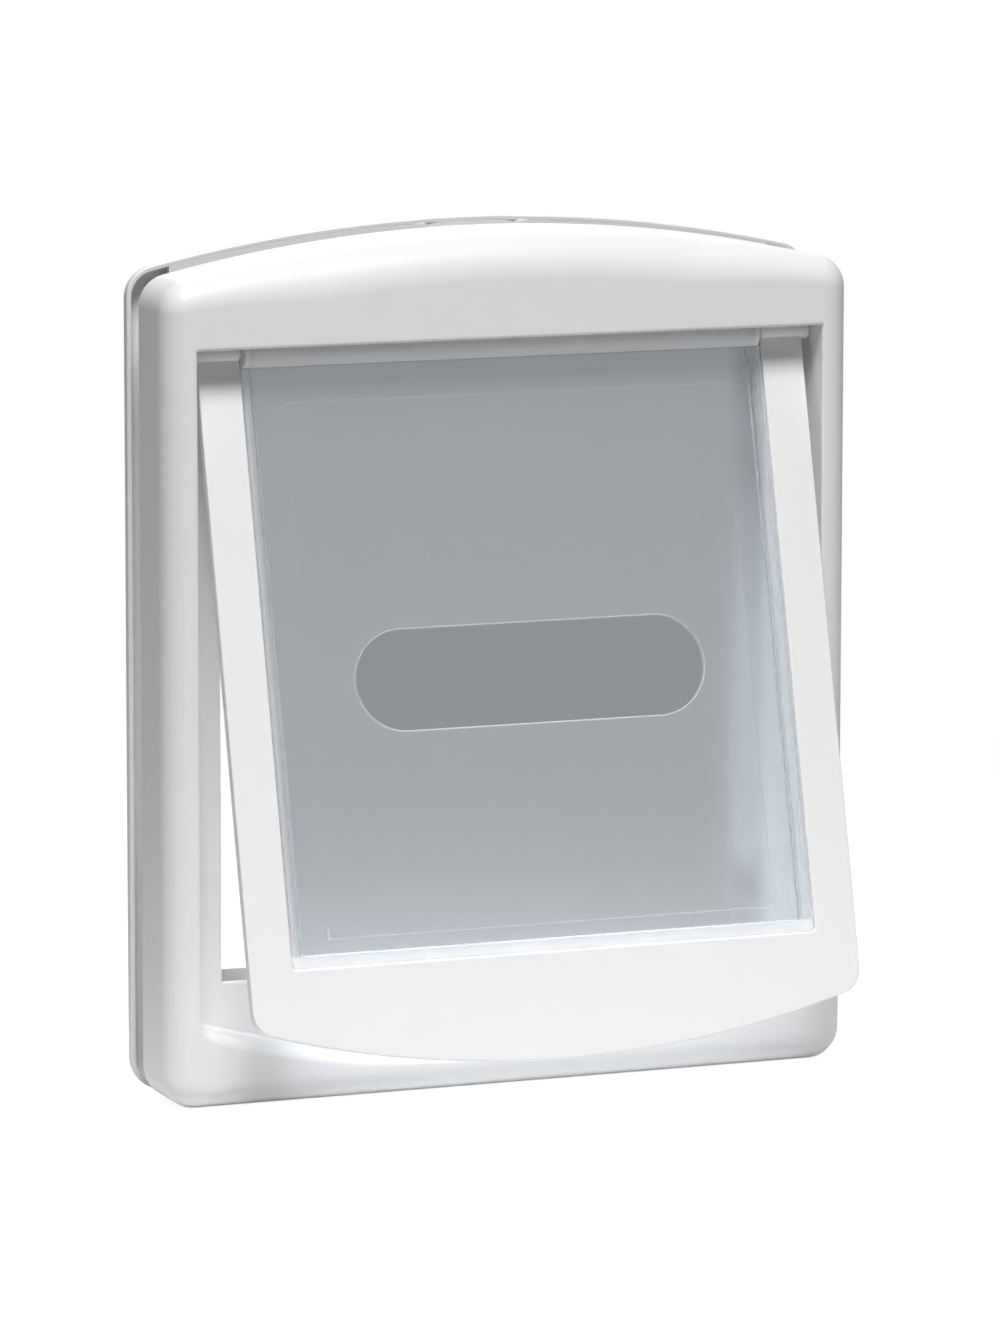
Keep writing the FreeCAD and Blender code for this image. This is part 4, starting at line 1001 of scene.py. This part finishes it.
def makeFloor():
    mesh = bmesh.new()
    bmesh.ops.create_grid(mesh, x_segments=1, y_segments=1, size=stage["floorSize"] / 2)
    data = bpy.data.meshes.new("floor")
    mesh.to_mesh(data)
    mesh.free()
    floor = bpy.data.objects.new("floor", data)
    bpy.context.scene.collection.objects.link(floor)
    finish = Finish("paleFloor")

    def beyond(middle, start, end):
        # Runs from 0 to 1 between two distances from a point of the floor.
        away = finish.node("ShaderNodeVectorMath", {"operation": "DISTANCE"}, {
            0: finish.place(), 1: middle}, "Value")
        return finish.node("ShaderNodeMapRange", {"interpolation_type": "SMOOTHSTEP"}, {
            "Value": away, "From Min": start, "From Max": end})

    # Painted pool of light: the floor's colour runs from pale near the flap to dark further off, as if only a
    # patch of floor in front were lit.
    paintedPoolFade = beyond(stage["paintedPoolMiddle"], stage["farFrom"], stage["farTo"])
    diffuse = finish.node("ShaderNodeBsdfDiffuse", None, {
        "Color": finish.blend(paintedPoolFade, stage["paintedPoolColour"], stage["paintedDimFloorColour"])})
    glow = finish.node("ShaderNodeEmission", None, {"Color": (1, 1, 1, 1), "Strength": stage["floorGlow"]})
    white = finish.node("ShaderNodeEmission", None, {"Color": (1, 1, 1, 1), "Strength": 1.0})
    camera, seen = seenShare(finish, stage["clearFloor"])
    lit = finish.node("ShaderNodeMixShader", None, {
        0: seen, 1: diffuse, 2: finish.node("ShaderNodeAddShader", None, {0: diffuse, 1: glow})})
    far = beyond((0, 0, 0), stage["whiteFrom"], stage["whiteTo"])
    shader = finish.node("ShaderNodeMixShader", None, {0: camera * far, 1: lit, 2: white})
    data.materials.append(finish.done(shader))


class Sky(Finish):
    # The world's nodes, made the same way as a material's.
    def __init__(self):
        world = bpy.data.worlds.new("studio")
        bpy.context.scene.world = world
        world.use_nodes = True
        self.tree = world.node_tree
        self.tree.nodes.clear()


def makeSky():
    sky = Sky()
    dim = sky.node("ShaderNodeBackground", None, {
        "Color": (*stage["skyColour"], 1), "Strength": stage["skyStrength"]})
    white = sky.node("ShaderNodeBackground", None, {"Color": (1, 1, 1, 1), "Strength": 1.0})
    seen = seenShare(sky, stage["clearSky"])[1]
    mixed = sky.node("ShaderNodeMixShader", None, {0: seen, 1: dim, 2: white})
    sky.node("ShaderNodeOutputWorld", None, {"Surface": mixed})


def makeLamp(name):
    lamp = lamps[name]
    data = bpy.data.lights.new(name, "AREA")
    data.shape = "DISK"
    data.size = lamp["size"]
    data.energy = lamp["power"]
    data.color = lamp["tint"]
    item = bpy.data.objects.new(name, data)
    azimuth, elevation = math.radians(lamp["azimuth"]), math.radians(lamp["elevation"])
    flat = math.cos(elevation)
    facing = Vector((math.sin(azimuth) * flat, -math.cos(azimuth) * flat, math.sin(elevation)))
    item.location = lampAim + facing * lampDistance
    item.visible_transmission = False
    item.rotation_euler = (-facing).to_track_quat("-Z", "Y").to_euler()
    bpy.context.scene.collection.objects.link(item)


view = {
    "place": (-0.735, -1.8696, 0.4270), "yaw": 21.585, "pitch": -8.845, "roll": 0.065,
    "sensor": 36, "focalPixels": 7448.5, "photoHeight": 1320,
}


def makeCamera():
    yaw, pitch, roll = (math.radians(view[name]) for name in ("yaw", "pitch", "roll"))
    forward = Vector((math.sin(yaw) * math.cos(pitch), math.cos(yaw) * math.cos(pitch), math.sin(pitch)))
    right = Vector((math.cos(yaw), -math.sin(yaw), 0))
    up = right.cross(forward)
    right, up = (right * math.cos(roll) + up * math.sin(roll), up * math.cos(roll) - right * math.sin(roll))
    data = bpy.data.cameras.new("photoView")
    data.sensor_fit = "AUTO"
    data.sensor_width = view["sensor"]
    data.lens = view["focalPixels"] / view["photoHeight"] * view["sensor"]
    data.clip_start, data.clip_end = 0.05, 100
    camera = bpy.data.objects.new("photoView", data)
    turn = Matrix((right, up, -forward)).transposed()
    camera.matrix_world = Matrix.Translation(view["place"]) @ turn.to_4x4()
    bpy.context.scene.collection.objects.link(camera)
    bpy.context.scene.camera = camera


makeFloor()
makeSky()
for lampName in lamps:
    makeLamp(lampName)
makeCamera()
bpy.context.scene.view_settings.view_transform = "Standard"
print("stage done")
